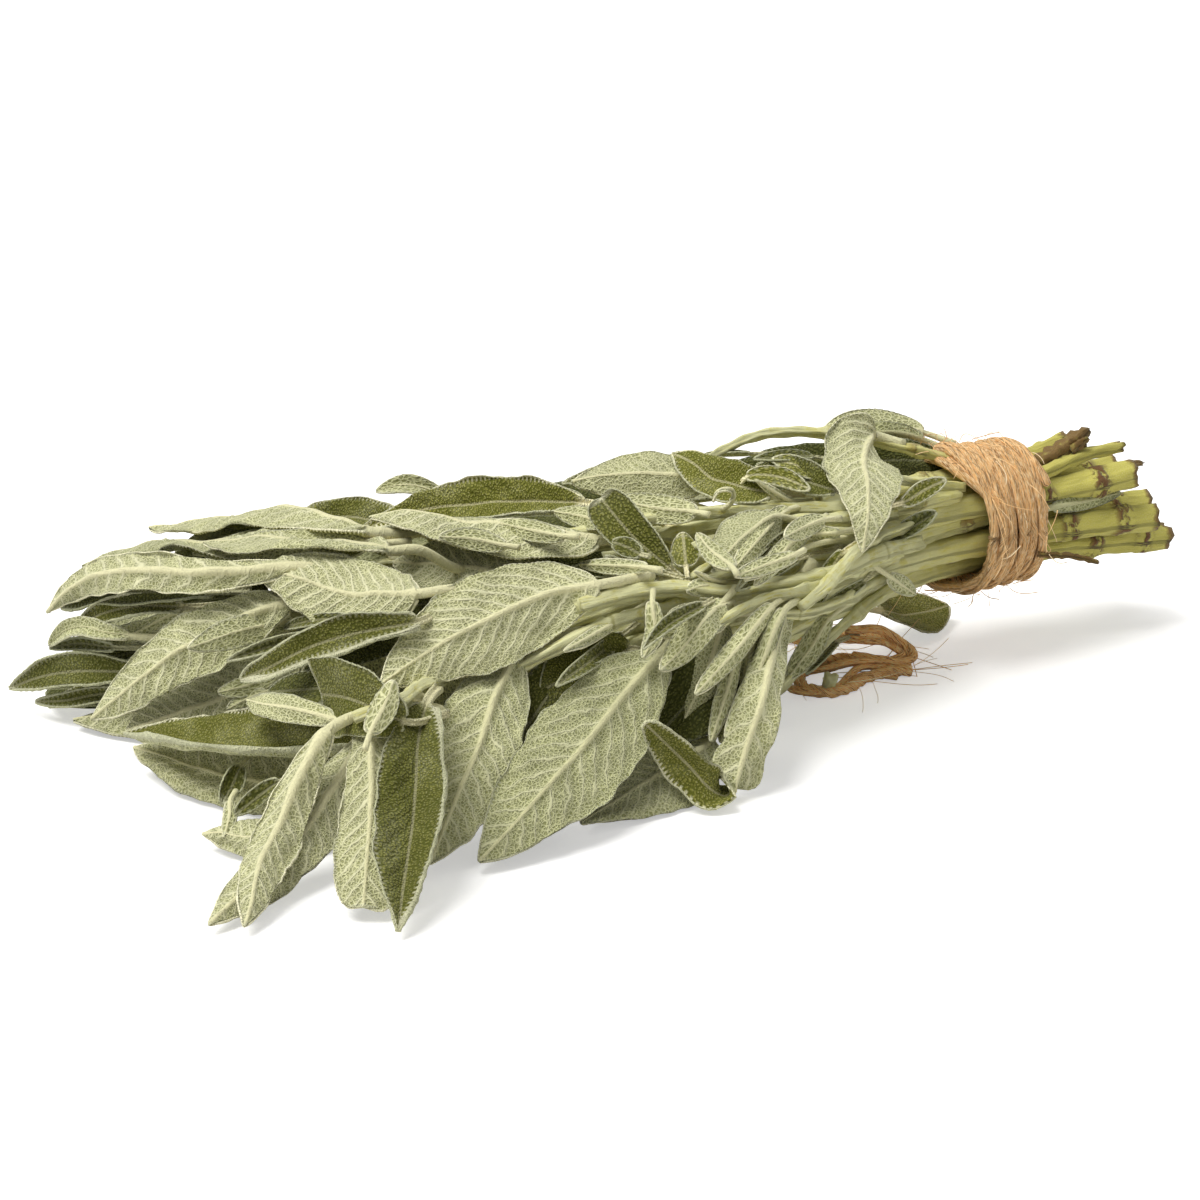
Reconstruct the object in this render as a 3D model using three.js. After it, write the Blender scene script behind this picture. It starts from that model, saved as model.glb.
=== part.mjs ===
// A tied bunch of fresh sage lying on a flat surface: nine cut stems held by a winding of jute twine,
// with the leaves fanning out from them. Millimetres, +Z up. While it is being laid out, x = 0 is 98 mm
// from the tie and the cut ends point to +X; the finished group is moved so that its origin is at the
// centre of the bottom of its bounding box.
import * as THREE from "three";

// ---- Driving dimensions (mm) ----
const TIE_X = 98; // middle of the twine winding
const TIE_CENTRE = [8, 29]; // y, z of the bundle's middle inside the winding
const STEM_R = 2.8; // stem radius at the tie
const STEM_TIP_R = 1.5;
const OUTER_SLOT = 9; // how far the outer stems lie from the bundle's middle
const INNER_SLOT = 3.2;
const STRAIGHT = 12; // half of the length over which the stems run parallel, inside the winding
const FLARE = 1.35; // how much wider the bundle is at the cut ends than at the tie
const TWINE_R = 1.2;
const WRAP_LAYERS = 3.1; // thickness of the winding over the stems
const WRAP_WIDTH = 16;
const WRAP_SHOULDER = 0.6; // how high the winding's ends stand, as a share of its thickness
const WRAP_CROWN = 0.7; // how much of its width is at full thickness
const WRAP_SIDES = 28;
const LEAF_T = 1.3; // leaf thickness at the midrib
const PETIOLE_R = 1.1;
const GROOVE = 0.3; // depth of the groove in a petiole's upper side, as a share of its thickness
const LEAF_SHOULDER = 0.4; // half thickness midway to a leaf's edge, as a share of its thickness
const FOLD_PIVOT = 0.35; // share of the half width round which a leaf folds
const BLADE_ROUND = 0.55; // how blunt a leaf's outline is
const STEM_EASE = 1.35; // how late a stem bends away from the bundle
const GAP = 0.4; // left between neighbours
const SIDES = 8; // vertices in every ring of a leaf, stem or cord

const v3 = (p) => new THREE.Vector3(...p);

// ---- Closed surfaces made of rings ----
// Every leaf, stem and cord is a row of rings with SIDES vertices each, closed by one vertex at either end.
// The facets between them, each corner given as [ring, side]. A leaf's lower half mirrors its upper half, so
// that its two faces stay parallel where it is bent.
function facetsOf({ rings }) {
  const facets = [];
  for (let k = 0; k + 1 < rings.length; k++)
    for (let j = 0; j < SIDES; j++) {
      const n = (j + 1) % SIDES;
      if (j < SIDES / 2) facets.push([[k, j], [k, n], [k + 1, j]], [[k, n], [k + 1, n], [k + 1, j]]);
      else facets.push([[k, j], [k, n], [k + 1, n]], [[k, j], [k + 1, n], [k + 1, j]]);
    }
  return facets;
}

function ringGeometry({ start, rings, end }) {
  const flat = [start, ...rings.flat(), end];
  const index = [];
  const at = (k, j) => 1 + k * SIDES + (j % SIDES);
  for (let j = 0; j < SIDES; j++) index.push(0, at(0, j + 1), at(0, j));
  for (const corner of facetsOf({ rings }).flat()) index.push(at(...corner));
  const last = rings.length - 1;
  for (let j = 0; j < SIDES; j++) index.push(flat.length - 1, at(last, j), at(last, j + 1));
  const geometry = new THREE.BufferGeometry();
  const position = new Float32Array(flat.flatMap((p) => [p.x, p.y, p.z]));
  geometry.setAttribute("position", new THREE.BufferAttribute(position, 3));
  geometry.setIndex(index);
  geometry.computeVertexNormals();
  return geometry;
}

// A round bar along points, with a radius at each point.
function bar(points, radius) {
  const rings = points.map((p, k) => {
    const ahead = points[Math.min(k + 1, points.length - 1)];
    const behind = points[Math.max(k - 1, 0)];
    const along = ahead.clone().sub(behind).normalize();
    const side = new THREE.Vector3(0, 0, 1).cross(along).normalize();
    const up = along.clone().cross(side);
    return Array.from({ length: SIDES }, (_, j) => {
      const turn = (2 * Math.PI * j) / SIDES;
      return p
        .clone()
        .addScaledVector(side, radius(k) * Math.cos(turn))
        .addScaledVector(up, radius(k) * Math.sin(turn));
    });
  });
  return { start: points[0].clone(), rings, end: points.at(-1).clone() };
}

// ---- Stems ----
// angle: place in the bundle, in degrees from +Y towards +Z. cut: x of the cut end. tip: where the stem ends.
const STEMS = [
  { slot: OUTER_SLOT, angle: 197, cut: 133, tip: [-56, -19, 20] },
  { slot: OUTER_SLOT, angle: 248, cut: 142, tip: [-8, -22, 12] },
  { slot: OUTER_SLOT, angle: 146, cut: 128, tip: [-32, -6, 27] },
  { slot: OUTER_SLOT, angle: 95, cut: 121, tip: [2, 10, 37] },
  { slot: OUTER_SLOT, angle: 43, cut: 125, tip: [-34, 38, 31] },
  { slot: OUTER_SLOT, angle: 352, cut: 130, tip: [-50, 44, 15] },
  { slot: OUTER_SLOT, angle: 300, cut: 136, tip: [-24, 28, 9] },
  { slot: INNER_SLOT, angle: 60, cut: 132, tip: [-44, 19, 24] },
  { slot: INNER_SLOT, angle: 240, cut: 138, tip: [-48, -8, 12] },
];
const STEM_STEPS = 16;
const EVEN_STEPS = 3; // steps from the cut end before a stem starts to taper

// Where a stem's middle is at x: parallel inside the winding, flaring to the cut end, and easing to its tip.
function stemPoint({ slot, angle, cut, tip }, x) {
  const turn = THREE.MathUtils.degToRad(angle);
  const [cy, cz] = TIE_CENTRE;
  const dy = slot * Math.cos(turn);
  const dz = slot * Math.sin(turn);
  if (x >= TIE_X - STRAIGHT) {
    const wider = 1 + (FLARE - 1) * Math.max(0, (x - TIE_X - STRAIGHT) / (cut - TIE_X - STRAIGHT));
    return new THREE.Vector3(x, cy + dy * wider, cz + dz * wider);
  }
  const share = (TIE_X - STRAIGHT - x) / (TIE_X - STRAIGHT - tip[0]);
  const ease = share ** STEM_EASE;
  return new THREE.Vector3(
    x,
    THREE.MathUtils.lerp(cy + dy, tip[1], ease),
    THREE.MathUtils.lerp(cz + dz, tip[2], ease),
  );
}

function stemRings(stem) {
  const points = Array.from({ length: STEM_STEPS }, (_, k) =>
    stemPoint(stem, THREE.MathUtils.lerp(stem.cut, stem.tip[0], k / (STEM_STEPS - 1))),
  );
  return bar(points, (k) =>
    THREE.MathUtils.lerp(STEM_R, STEM_TIP_R, Math.max(0, (k - EVEN_STEPS) / (STEM_STEPS - 1 - EVEN_STEPS))),
  );
}

// ---- Leaves ----
// stem: the stem it grows from, counted from 0. at: x of its node on that stem. blade: points along the
// midrib of the blade from its base to its tip. width: of the blade. shows: the face turned outwards.
// to: the way that face looks; one that turns has a list, from the stem to the tip.
// fold: how far the two halves close towards the upper face, 0 flat, 1 at 45 deg.
function leaf(name, stem, at, blade, width, shows, to, fold) {
  return { name, stem, at, blade, width, shows, to, fold };
}
const UP = [0, -0.2, 1];
const NEAR = [-0.35, -0.65, 0.7];
const FRONT = [-0.45, -0.8, 0.35];
const FAR = [-0.2, 0.7, 0.7];
const BEHIND = [0.45, 0.75, -0.45];
const LEANING = [0.1, -0.4, 0.9];
const TIE_BLADE = [[79, 18, 7.5], [89, 21, 4], [100, 23, 3.2]];
const TIE_LEAF = leaf("floor_tie", 6, 58, TIE_BLADE, 15, "upper", LEANING, 0.1);
const LOWER_LEAVES = [
  leaf("floor_front", 8, -38, [[-56, -11, 6], [-75, 9, 4], [-86, 32, 5]], 18, "under", NEAR, 0.2),
  leaf("floor_curl", 0, -46, [[-62, -17, 7], [-80, -20, 4], [-90, -9, 3]], 12, "under", NEAR, 0.5),
  leaf("floor_left", 5, -40, [[-50, 41, 6], [-70, 47, 4], [-88, 58, 2]], 16, "under", UP, 0.2),
  leaf("floor_near", 1, 18, [[9, -27, 8], [-5, -31, 5], [-26, -38, 2]], 20, "under", NEAR, 0.15),
  leaf("floor_middle", 8, -4, [[-18, 0, 4], [-42, 9, 2], [-66, 12, 1]], 18, "upper", UP, 0.1),
  leaf("floor_far", 6, -4, [[-16, 27, 4], [-38, 36, 2], [-62, 42, 1]], 18, "under", UP, 0.1),
  leaf("floor_back", 6, 24, [[10, 32, 5], [-12, 48, 3], [-36, 64, 1]], 18, "under", UP, 0.2),
  leaf("left_low", 5, -38, [[-54, 50, 7], [-74, 60, 5], [-90, 66, 3]], 14, "upper", UP, 0.3),
  leaf("far_third", 6, 50, [[34, 34, 20], [14, 47, 14], [-8, 58, 4]], 20, "under", FAR, 0.2),
  leaf("far_fourth", 5, 66, [[54, 28, 24], [38, 38, 16], [22, 46, 5]], 16, "under", FAR, 0.2),
];
const UPPER_LEAVES = [
  leaf("far_first", 5, -10, [[-26, 48, 22], [-44, 62, 18], [-60, 72, 10]], 18, "under", FAR, 0.2),
  leaf("far_second", 5, 26, [[12, 41, 25], [-8, 55, 20], [-28, 70, 9]], 20, "under", FAR, 0.2),
  leaf("near_dark", 1, 6, [[-3, -17, 20], [-12, -18, 14], [-23, -17, 8]], 15, "upper", NEAR, 0.1),
  leaf("left_tip", 5, -42, [[-54, 50, 13], [-76, 60, 10], [-96, 68, 6]], 18, "upper", NEAR, 0.3),
  leaf("left_shade", 7, -38, [[-54, 21, 18], [-72, 31, 11], [-85, 38, 6]], 18, "under", NEAR, 0.2),
  leaf("left_third", 5, -36, [[-52, 48, 19], [-68, 60, 15], [-82, 74, 9]], 14, "under", UP, 0.5),
  leaf("left_second", 5, -28, [[-46, 48, 23], [-70, 63, 20], [-88, 70, 13]], 14, "upper", NEAR, 0.4),
  leaf("front_long", 8, -42, [[-55, -11, 15], [-75, 6, 13], [-88, 31, 9]], 19, "upper", UP, 0.35),
  leaf("near_second", 0, -10, [[-26, -14, 25], [-44, -29, 15], [-60, -42, 3]], 18, "under", NEAR, 0.1),
  leaf("side_second", 0, 36, [[25, -19, 27], [17, -25, 16], [10, -29, 8]], 8, "under", NEAR, 0.3),
  leaf("side_first", 0, 28, [[17, -19, 28], [10, -23, 19], [4, -25, 12]], 9, "under", NEAR, 0.5),
  leaf("near_broad", 1, 16, [[3, -20, 22], [-20, -31, 13], [-51, -44, 2]], 22, "under", NEAR, 0.1),
  leaf(
    "side_curled", 2, 46,
    [[29, -21, 26], [23, -30, 20], [14, -40, 17], [8, -44, 12], [3, -45, 6], [1.5, -44, 3.3], [1, -41.6, 2.5],
      [0, -39, 4], [-6, -37, 10], [-12, -36, 17]],
    11, "under",
    [...Array(6).fill(FRONT), [-0.25, -0.74, -0.63], [0.22, 0.08, -0.97], BEHIND, [0.41, 0.89, 0], [0.41, 0.89, 0]],
    0.1,
  ),
  leaf("side_pale", 0, 26, [[16, -20, 31], [8, -22, 28], [0, -22, 23]], 11, "under", FRONT, 0.1),
  leaf("front_under", 0, -48, [[-62, -22, 19], [-82, -32, 8], [-105, -44, 2]], 12, "under", NEAR, 0.3),
  leaf("front_blunt", 0, -46, [[-60, -23, 25], [-69, -37, 15], [-79, -53, 3]], 12, "under", NEAR, 0.2),
  leaf("front_pale", 0, -50, [[-71, -24, 16], [-87, -33, 7], [-100, -48, 2]], 12, "under", NEAR, 0.4),
  leaf("front_dark", 0, -36, [[-51, -22, 22], [-61, -36, 14], [-77, -62, 2]], 13, "upper", NEAR, 0.35),
  leaf("front_square", 8, -34, [[-46, -9, 25], [-56, -13, 26], [-66, -11, 24]], 15, "upper", FRONT, 0.1),
  leaf("left_pale", 7, -40, [[-56, 23, 32], [-74, 31, 24], [-90, 43, 8]], 18, "under", NEAR, 0.15),
  leaf("left_arched", 7, -36, [[-54, 26, 36], [-72, 53, 33], [-86, 73, 19]], 18, "under", UP, 0.8),
  leaf("back_wide", 4, -28, [[-46, 40, 38], [-60, 64, 31], [-76, 79, 23]], 18, "under", UP, 0.2),
  leaf("middle_broad", 2, 12, [[-6, -8, 35], [-28, -9, 32], [-52, -7, 24]], 21, "under", NEAR, 0.1),
  leaf("middle_shade", 2, 6, [[-9, 0, 34], [-19, 15, 35], [-29, 32, 33]], 18, "under", NEAR, 0.1),
  leaf("middle_pale", 2, -24, [[-42, -4, 36], [-50, 13, 36], [-60, 29, 32]], 18, "under", NEAR, 0.15),
  leaf("middle_back", 7, -22, [[-37, 18, 39], [-50, 34, 37], [-60, 54, 31]], 18, "under", UP, 0.1),
  leaf("back_second", 4, -20, [[-36, 29, 39], [-46, 57, 35], [-58, 86, 29]], 15, "under", UP, 0.3),
  leaf("back_dark", 4, -10, [[-22, 38, 38], [-30, 52, 37], [-39, 64, 33]], 9, "upper", NEAR, 0.2),
  leaf("top_long", 3, 12, [[1, 3, 41], [-16, 18, 42], [-33, 34, 38]], 17, "under", UP, 0.3),
  leaf("top_golden", 3, 22, [[9, 22, 42], [-10, 33, 42], [-32, 42, 37]], 11, "upper", NEAR, 0.2),
  leaf("top_upright", 2, 22, [[10, -9, 36], [9, 0, 41], [5, 12, 45]], 12, "upper", FRONT, 0.15),
  leaf("ridge_rolled", 2, 50, [[38, -5, 42], [28, -9, 41], [17, -15, 38]], 12, "under", NEAR, 0.4),
  leaf("ridge_far", 4, 50, [[36, 24, 43], [25, 31, 43], [13, 38, 41]], 10, "upper", UP, 0.2),
  leaf("ridge_pale", 3, 46, [[35, 16, 44], [24, 24, 45], [13, 34, 42]], 12, "under", NEAR, 0.2),
  leaf("ridge_grey", 3, 54, [[42, 4, 44], [34, 11, 46], [30, 23, 47]], 11, "upper", NEAR, 0.2),
  leaf("ridge_small", 3, 64, [[54, -1, 44], [48, 5, 46], [44, 13, 47]], 9, "upper", NEAR, 0.3),
  leaf("tie_hanging", 3, 82, [[72, 11, 43], [64, 0, 39], [56, -7, 31]], 18, "under", FRONT, 0.1),
  leaf("tie_folded", 4, 87, [[88, 22, 43], [81, 28, 46], [71, 31, 45]], 12, "under", UP, 0.6),
];

const PETIOLE_RINGS = [0.05, 0.6]; // shares of the way from the node to the blade
const BLADE_RINGS = [0.02, 0.12, 0.26, 0.42, 0.58, 0.74, 0.88, 0.96]; // shares of the blade
// The blade's width at s, as a share of its widest.
const bladeShare = (s) => (4 * s * (1 - s)) ** BLADE_ROUND;

// One leaf as rings: two round ones on the petiole, then the blade's, thin at the edges.
function leafRings(leaf) {
  const blade = leaf.blade.map(v3);
  const onStem = stemPoint(STEMS[leaf.stem], leaf.at);
  const towards = blade[0].clone().sub(onStem).setX(0).normalize();
  const node = onStem.clone().addScaledVector(towards, STEM_R + PETIOLE_R + GAP);
  const curve = new THREE.CatmullRomCurve3([node, ...blade], false, "centripetal");
  const bladeStart = 1 / blade.length;
  const facing = (Array.isArray(leaf.to[0]) ? leaf.to : [leaf.to]).map((p) => v3(p).normalize());
  const upperSign = leaf.shows === "upper" ? 1 : -1;
  const section = (t, half, thick, fold) => {
    const middle = curve.getPoint(t);
    const along = curve.getTangent(t);
    const place = t * (facing.length - 1);
    const from = Math.floor(place);
    const outward = facing[from].clone().lerp(facing[Math.min(from + 1, facing.length - 1)], place - from);
    const shown = outward.clone().addScaledVector(along, -outward.dot(along)).normalize();
    const upper = shown.multiplyScalar(upperSign);
    const side = upper.clone().cross(along).normalize();
    const at = (across, height) =>
      middle
        .clone()
        .addScaledVector(side, across * half)
        .addScaledVector(upper, height + fold * half * (Math.abs(across) - FOLD_PIVOT));
    const shoulder = LEAF_SHOULDER * thick;
    return [
      at(1, 0),
      at(0.5, shoulder),
      at(0, thick / 2),
      at(-0.5, shoulder),
      at(-1, 0),
      at(-0.5, -shoulder),
      at(0, -thick / 2),
      at(0.5, -shoulder),
    ];
  };
  const petiole = PETIOLE_RINGS.map((share) => section(share * bladeStart, PETIOLE_R, 2 * PETIOLE_R, 0));
  // The petiole's upper side is grooved.
  for (const ring of petiole) ring[2].lerp(ring[6], GROOVE);
  const bladeSections = BLADE_RINGS.map((share) =>
    section(
      bladeStart + share * (1 - bladeStart),
      (leaf.width / 2) * bladeShare(share),
      LEAF_T * Math.sqrt(bladeShare(share)),
      leaf.fold,
    ),
  );
  return { start: curve.getPoint(0), rings: [...petiole, ...bladeSections], end: curve.getPoint(1) };
}

// ---- The pile ----
// How high the things laid so far reach, in square cells. A new leaf is draped over them: its parts are
// raised only where they would touch, and bend smoothly from there.
const CELL = 0.8;
const CELL_STRIDE = 4096; // more than the cells in a row
const SAMPLES = 12; // samples along each side of a facet
const TOUCHING = 0.01; // less than this is left as it is
const ROUNDS = 20;
const BEND_ALONG = 0.35; // how steeply a leaf may bend, in mm of height per mm of length
const BEND_ACROSS = 0.7; // the same across its width
const COLUMNS = [[0], [1, 7], [2, 6], [3, 5], [4]]; // the vertices of a ring that stand over one another
const top = new Map();
const cellOf = (x, y) => Math.round(x / CELL) * CELL_STRIDE + Math.round(y / CELL);

function eachSample([p, q, r], visit) {
  for (let a = 0; a <= SAMPLES; a++)
    for (let b = 0; a + b <= SAMPLES; b++) {
      const mix = (axis) => (a * p[axis] + b * q[axis] + (SAMPLES - a - b) * r[axis]) / SAMPLES;
      visit(cellOf(mix("x"), mix("y")), mix("z"));
    }
}

function layCorners(corners) {
  eachSample(corners, (cell, z) => top.set(cell, Math.max(top.get(cell) ?? 0, z)));
}

function lay({ rings }) {
  for (const facet of facetsOf({ rings })) layCorners(facet.map(([ring, side]) => rings[ring][side]));
}

const columnOf = Array.from({ length: SIDES }, (_, j) => COLUMNS.findIndex((c) => c.includes(j)));

function drape(body) {
  const { rings } = body;
  for (let round = 0; round < ROUNDS; round++) {
    const need = rings.map(() => COLUMNS.map(() => 0));
    let worst = 0;
    for (const facet of facetsOf(body))
      eachSample(facet.map(([ring, side]) => rings[ring][side]), (cell, z) => {
        const short = (top.has(cell) ? top.get(cell) + GAP : 0) - z;
        if (short < TOUCHING) return;
        worst = Math.max(worst, short);
        for (const [ring, side] of facet)
          need[ring][columnOf[side]] = Math.max(need[ring][columnOf[side]], short);
      });
    if (worst === 0) break;
    const lift = need.map((row, k) =>
      row.map((_, c) => {
        let most = 0;
        need.forEach((otherRow, ok) => {
          const along = BEND_ALONG * rings[k][2].distanceTo(rings[ok][2]);
          otherRow.forEach((n, oc) => {
            if (n === 0) return;
            const across = BEND_ACROSS * rings[k][COLUMNS[c][0]].distanceTo(rings[k][COLUMNS[oc][0]]);
            most = Math.max(most, n - along - across);
          });
        });
        return most;
      }),
    );
    rings.forEach((ring, k) => ring.forEach((p, j) => (p.z += lift[k][columnOf[j]])));
    body.start.z += lift[0][2];
    body.end.z += lift.at(-1)[2];
  }
}

// ---- Twine ----
// The winding is one ring round the stems. The loose tail leaves it underneath, makes a loop and ends cut.
function wrapGeometry() {
  const inside = OUTER_SLOT + STEM_R + GAP;
  const shoulder = inside + WRAP_SHOULDER * WRAP_LAYERS;
  const outside = inside + WRAP_LAYERS;
  const half = WRAP_WIDTH / 2;
  const profile = [
    [inside, -half],
    [shoulder, -half],
    [outside, -WRAP_CROWN * half],
    [outside, WRAP_CROWN * half],
    [shoulder, half],
    [inside, half],
    [inside, -half],
  ].map(([r, h]) => new THREE.Vector2(r, h));
  return new THREE.LatheGeometry(profile, WRAP_SIDES);
}
const TAIL_ROUTE = [
  [88.6, 17, 18.3],
  [85, 20, 16.4],
  [81, 24, 12],
  [77, 28.4, 6.8],
  [73, 32, 3],
  [69, 34, 1.4],
  [64.8, 32.8, 1.3],
  [62.8, 28.8, 1.3],
  [65.2, 25, 1.3],
  [70, 23.6, 1.3],
  [75, 22.4, 1.3],
  [79, 19, 1.3],
  [80.8, 14.2, 1.3],
  [80.4, 9.2, 1.3],
  [77.2, 5.6, 1.3],
  [72.6, 5.6, 1.3],
  [69, 8.8, 1.3],
  [65, 12, 1.3],
  [60, 12.6, 1.3],
  [55, 10, 1.3],
  [50.8, 6, 1.3],
  [49.6, 1, 1.3],
  [53, -2.8, 1.3],
  [58, -2.4, 1.3],
  [63, 0, 1.3],
  [68.4, 0.8, 1.3],
  [74, -0.6, 1.3],
];
const TAIL_STEPS = 90;
function tailGeometry() {
  const section = new THREE.Shape(
    Array.from({ length: SIDES }, (_, j) => {
      const turn = (2 * Math.PI * j) / SIDES;
      return new THREE.Vector2(TWINE_R * Math.cos(turn), TWINE_R * Math.sin(turn));
    }),
  );
  const extrudePath = new THREE.CatmullRomCurve3(TAIL_ROUTE.map(v3), false, "centripetal");
  return new THREE.ExtrudeGeometry(section, { steps: TAIL_STEPS, bevelEnabled: false, extrudePath });
}

// ---- Assembly ----
const COLOURS = { stem: 0xb7bd7c, under: 0xaab28a, upper: 0x5f6b35, twine: 0xb98c5a };
const bunch = new THREE.Group();
function add(name, geometry, colour, roughness = 0.9) {
  const material = new THREE.MeshStandardMaterial({ color: colour, roughness, metalness: 0 });
  const mesh = new THREE.Mesh(geometry, material);
  mesh.name = name;
  bunch.add(mesh);
  return mesh;
}

const wrap = add("twine_wrap", wrapGeometry(), COLOURS.twine);
wrap.rotation.z = -Math.PI / 2;
wrap.position.set(TIE_X, ...TIE_CENTRE);

function addLeaf(leaf) {
  const body = leafRings(leaf);
  drape(body);
  lay(body);
  add(`leaf_${leaf.name}`, ringGeometry(body), COLOURS[leaf.shows]);
}
// The tail comes down over the leaf beside it, and the rest lies over both.
addLeaf(TIE_LEAF);
const tail = tailGeometry();
const tailPoints = tail.getAttribute("position");
const tailCorner = (k) => new THREE.Vector3().fromBufferAttribute(tailPoints, k);
for (let k = 0; k < tailPoints.count; k += 3) layCorners([k, k + 1, k + 2].map(tailCorner));
add("twine_tail", tail, COLOURS.twine);
LOWER_LEAVES.forEach(addLeaf);
const stems = STEMS.map(stemRings);
stems.forEach(drape);
stems.forEach((body, k) => {
  lay(body);
  add(`stem_${k + 1}`, ringGeometry(body), COLOURS.stem);
});
UPPER_LEAVES.forEach(addLeaf);

const box = new THREE.Box3().setFromObject(bunch);
bunch.position.set(-(box.min.x + box.max.x) / 2, -(box.min.y + box.max.y) / 2, -box.min.z);

export default bunch;
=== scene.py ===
"""A tied bunch of fresh sage lying on a table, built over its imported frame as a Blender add-on."""

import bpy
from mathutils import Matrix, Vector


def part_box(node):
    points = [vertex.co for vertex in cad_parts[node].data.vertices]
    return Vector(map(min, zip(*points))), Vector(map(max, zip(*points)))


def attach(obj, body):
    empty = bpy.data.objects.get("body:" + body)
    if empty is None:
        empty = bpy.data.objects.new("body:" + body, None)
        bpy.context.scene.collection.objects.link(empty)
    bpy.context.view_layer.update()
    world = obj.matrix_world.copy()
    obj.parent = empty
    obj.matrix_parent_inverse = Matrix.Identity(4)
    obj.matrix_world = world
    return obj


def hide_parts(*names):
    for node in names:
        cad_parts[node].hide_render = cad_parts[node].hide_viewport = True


bl_info = {
    "name": "Sage Bunch",
    "version": (1, 0, 0),
    "blender": (4, 5, 0),
    "location": "View3D > Sidebar > Sage Bunch",
    "description": "Builds a tied bunch of fresh sage over its packed frame",
    "category": "Object",
}

from types import SimpleNamespace

import bpy
import numpy as np
from bpy.props import FloatProperty, FloatVectorProperty, IntProperty, PointerProperty
from bpy.types import Operator, Panel, PropertyGroup

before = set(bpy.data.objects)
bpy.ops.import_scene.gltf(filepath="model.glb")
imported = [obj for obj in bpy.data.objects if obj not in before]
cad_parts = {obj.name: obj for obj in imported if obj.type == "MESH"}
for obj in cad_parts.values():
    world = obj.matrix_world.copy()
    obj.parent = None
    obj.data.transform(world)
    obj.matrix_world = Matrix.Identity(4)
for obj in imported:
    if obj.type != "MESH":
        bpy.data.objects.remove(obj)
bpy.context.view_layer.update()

MM = 0.001
TAU = 2 * np.pi
RING = 8  # vertices in a ring of a stem or leaf of the frame

# Everything below is laid out in bunch millimetres: x = 0 is 98 mm from the middle of the winding, the cut
# ends point to +X, and z = 0 is the table.
TIE = np.array((98.0, 8.0, 29.0))  # the middle of the winding
WRAP_INSIDE = 12.2  # its inner radius
ORIGIN = np.mean([list(corner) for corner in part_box("twine_wrap")], axis=0) / MM - TIE

# How far along the blade each ring of a leaf of the frame lies, and how blunt its outline is.
BLADE_RINGS = np.array((0.02, 0.12, 0.26, 0.42, 0.58, 0.74, 0.88, 0.96))
PETIOLE_RINGS = np.array((0.05, 0.6))
BLADE_ROUND = 0.55


def scaled(shade, share):
    """A colour made lighter or darker."""
    return tuple(min(1.0, share * part) for part in shade)


def linear(red, green, blue):
    """A colour given as 0-255 screen values, as the linear values that sockets and properties hold."""
    shares = np.array((red, green, blue)) / 255
    return tuple(np.where(shares <= 0.04045, shares / 12.92, ((shares + 0.055) / 1.055) ** 2.4).tolist())


# ---- Settings ----


def length(name, description, default, low=0.0, high=1.0):
    """A length in metres."""
    return FloatProperty(
        name=name,
        description=description,
        default=default,
        min=low,
        max=high,
        precision=5,
        unit="LENGTH",
        subtype="DISTANCE",
    )


def colour(name, description, default):
    return FloatVectorProperty(
        name=name, description=description, default=default, min=0, max=1, size=3, subtype="COLOR"
    )


class LeafSettings(PropertyGroup):
    blade_thickness: length("Blade thickness", "Thickness of a leaf between its veins", 0.0007)
    rib_height: length("Midrib height", "How far the midrib stands out of the underside at its base", 0.0011)
    vein_height: length("Vein height", "How far a side vein stands out of the underside", 0.00022)
    vein_spacing: length("Vein spacing", "Distance between the side veins of a large leaf", 0.0046)
    puff: length("Puff", "How far the blade swells upwards between its side veins", 0.00024)
    tooth_depth: length("Tooth depth", "Depth of the fine rounded teeth along the margin", 0.0001)
    tooth_spacing: length("Tooth spacing", "Distance between the teeth of the margin", 0.0008)
    underside: colour("Underside", "Felt on the raised net of the underside", linear(224, 223, 172))
    # The pits colour is partly the hollows' own greener colour and partly painted shade in them.
    underside_pits_and_shade: colour("Underside pits", "Hollows in the net of the underside", linear(120, 122, 62))
    vein: colour("Vein", "Side veins of the underside", linear(224, 221, 182))
    rib: colour("Midrib", "Midrib and petiole", linear(231, 226, 180))
    # The two upper side colours paint light and shade: the lighter one on the pebble tops is painted
    # highlight, the darker one in the creases painted shade, around the leaf's own dark olive.
    upper_side: colour("Upper side", "Tops of the pebbles of the upper side", linear(134, 134, 58))
    upper_crease_shade: colour("Upper side creases", "Creases between the pebbles", linear(80, 84, 22))
    margin: colour("Margin", "Felted edge seen from the upper side", linear(212, 211, 176))


class StemSettings(PropertyGroup):
    ridge_depth: length("Ridge depth", "How far the four corners of a stem stand out", 0.0003)
    node_swell: length("Node swell", "How much thicker a stem is where leaves grow", 0.0006)
    young: colour("Young stem", "Downy stem among the leaves", linear(218, 217, 166))
    old: colour("Old stem", "Bare stem near the cut", linear(192, 184, 88))
    scar: colour("Scar", "Corky scars where leaves were pulled off", linear(108, 76, 44))
    pith: colour("Pith", "Middle of a cut end", linear(214, 206, 150))


class TwineSettings(PropertyGroup):
    diameter: length("Diameter", "Diameter of the twine", 0.0024)
    tail_length: length("Tail length", "Length of the loose tail from the winding to its bare end", 0.142)
    # The light and dark fibre colours are partly the jute's own and partly painted: highlight on the raised
    # fibres, shade deep between them.
    light: colour("Light fibres", "Fibres on the outside of the twine", linear(252, 224, 176))
    middle: colour("Middle fibres", "Most of the fibres", linear(238, 184, 118))
    dark: colour("Dark fibres", "Deep between the fibres", linear(136, 88, 42))
    fibre_count: IntProperty(
        name="Loose fibres", description="Fibres that stand off the twine", default=190, min=0
    )


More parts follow.
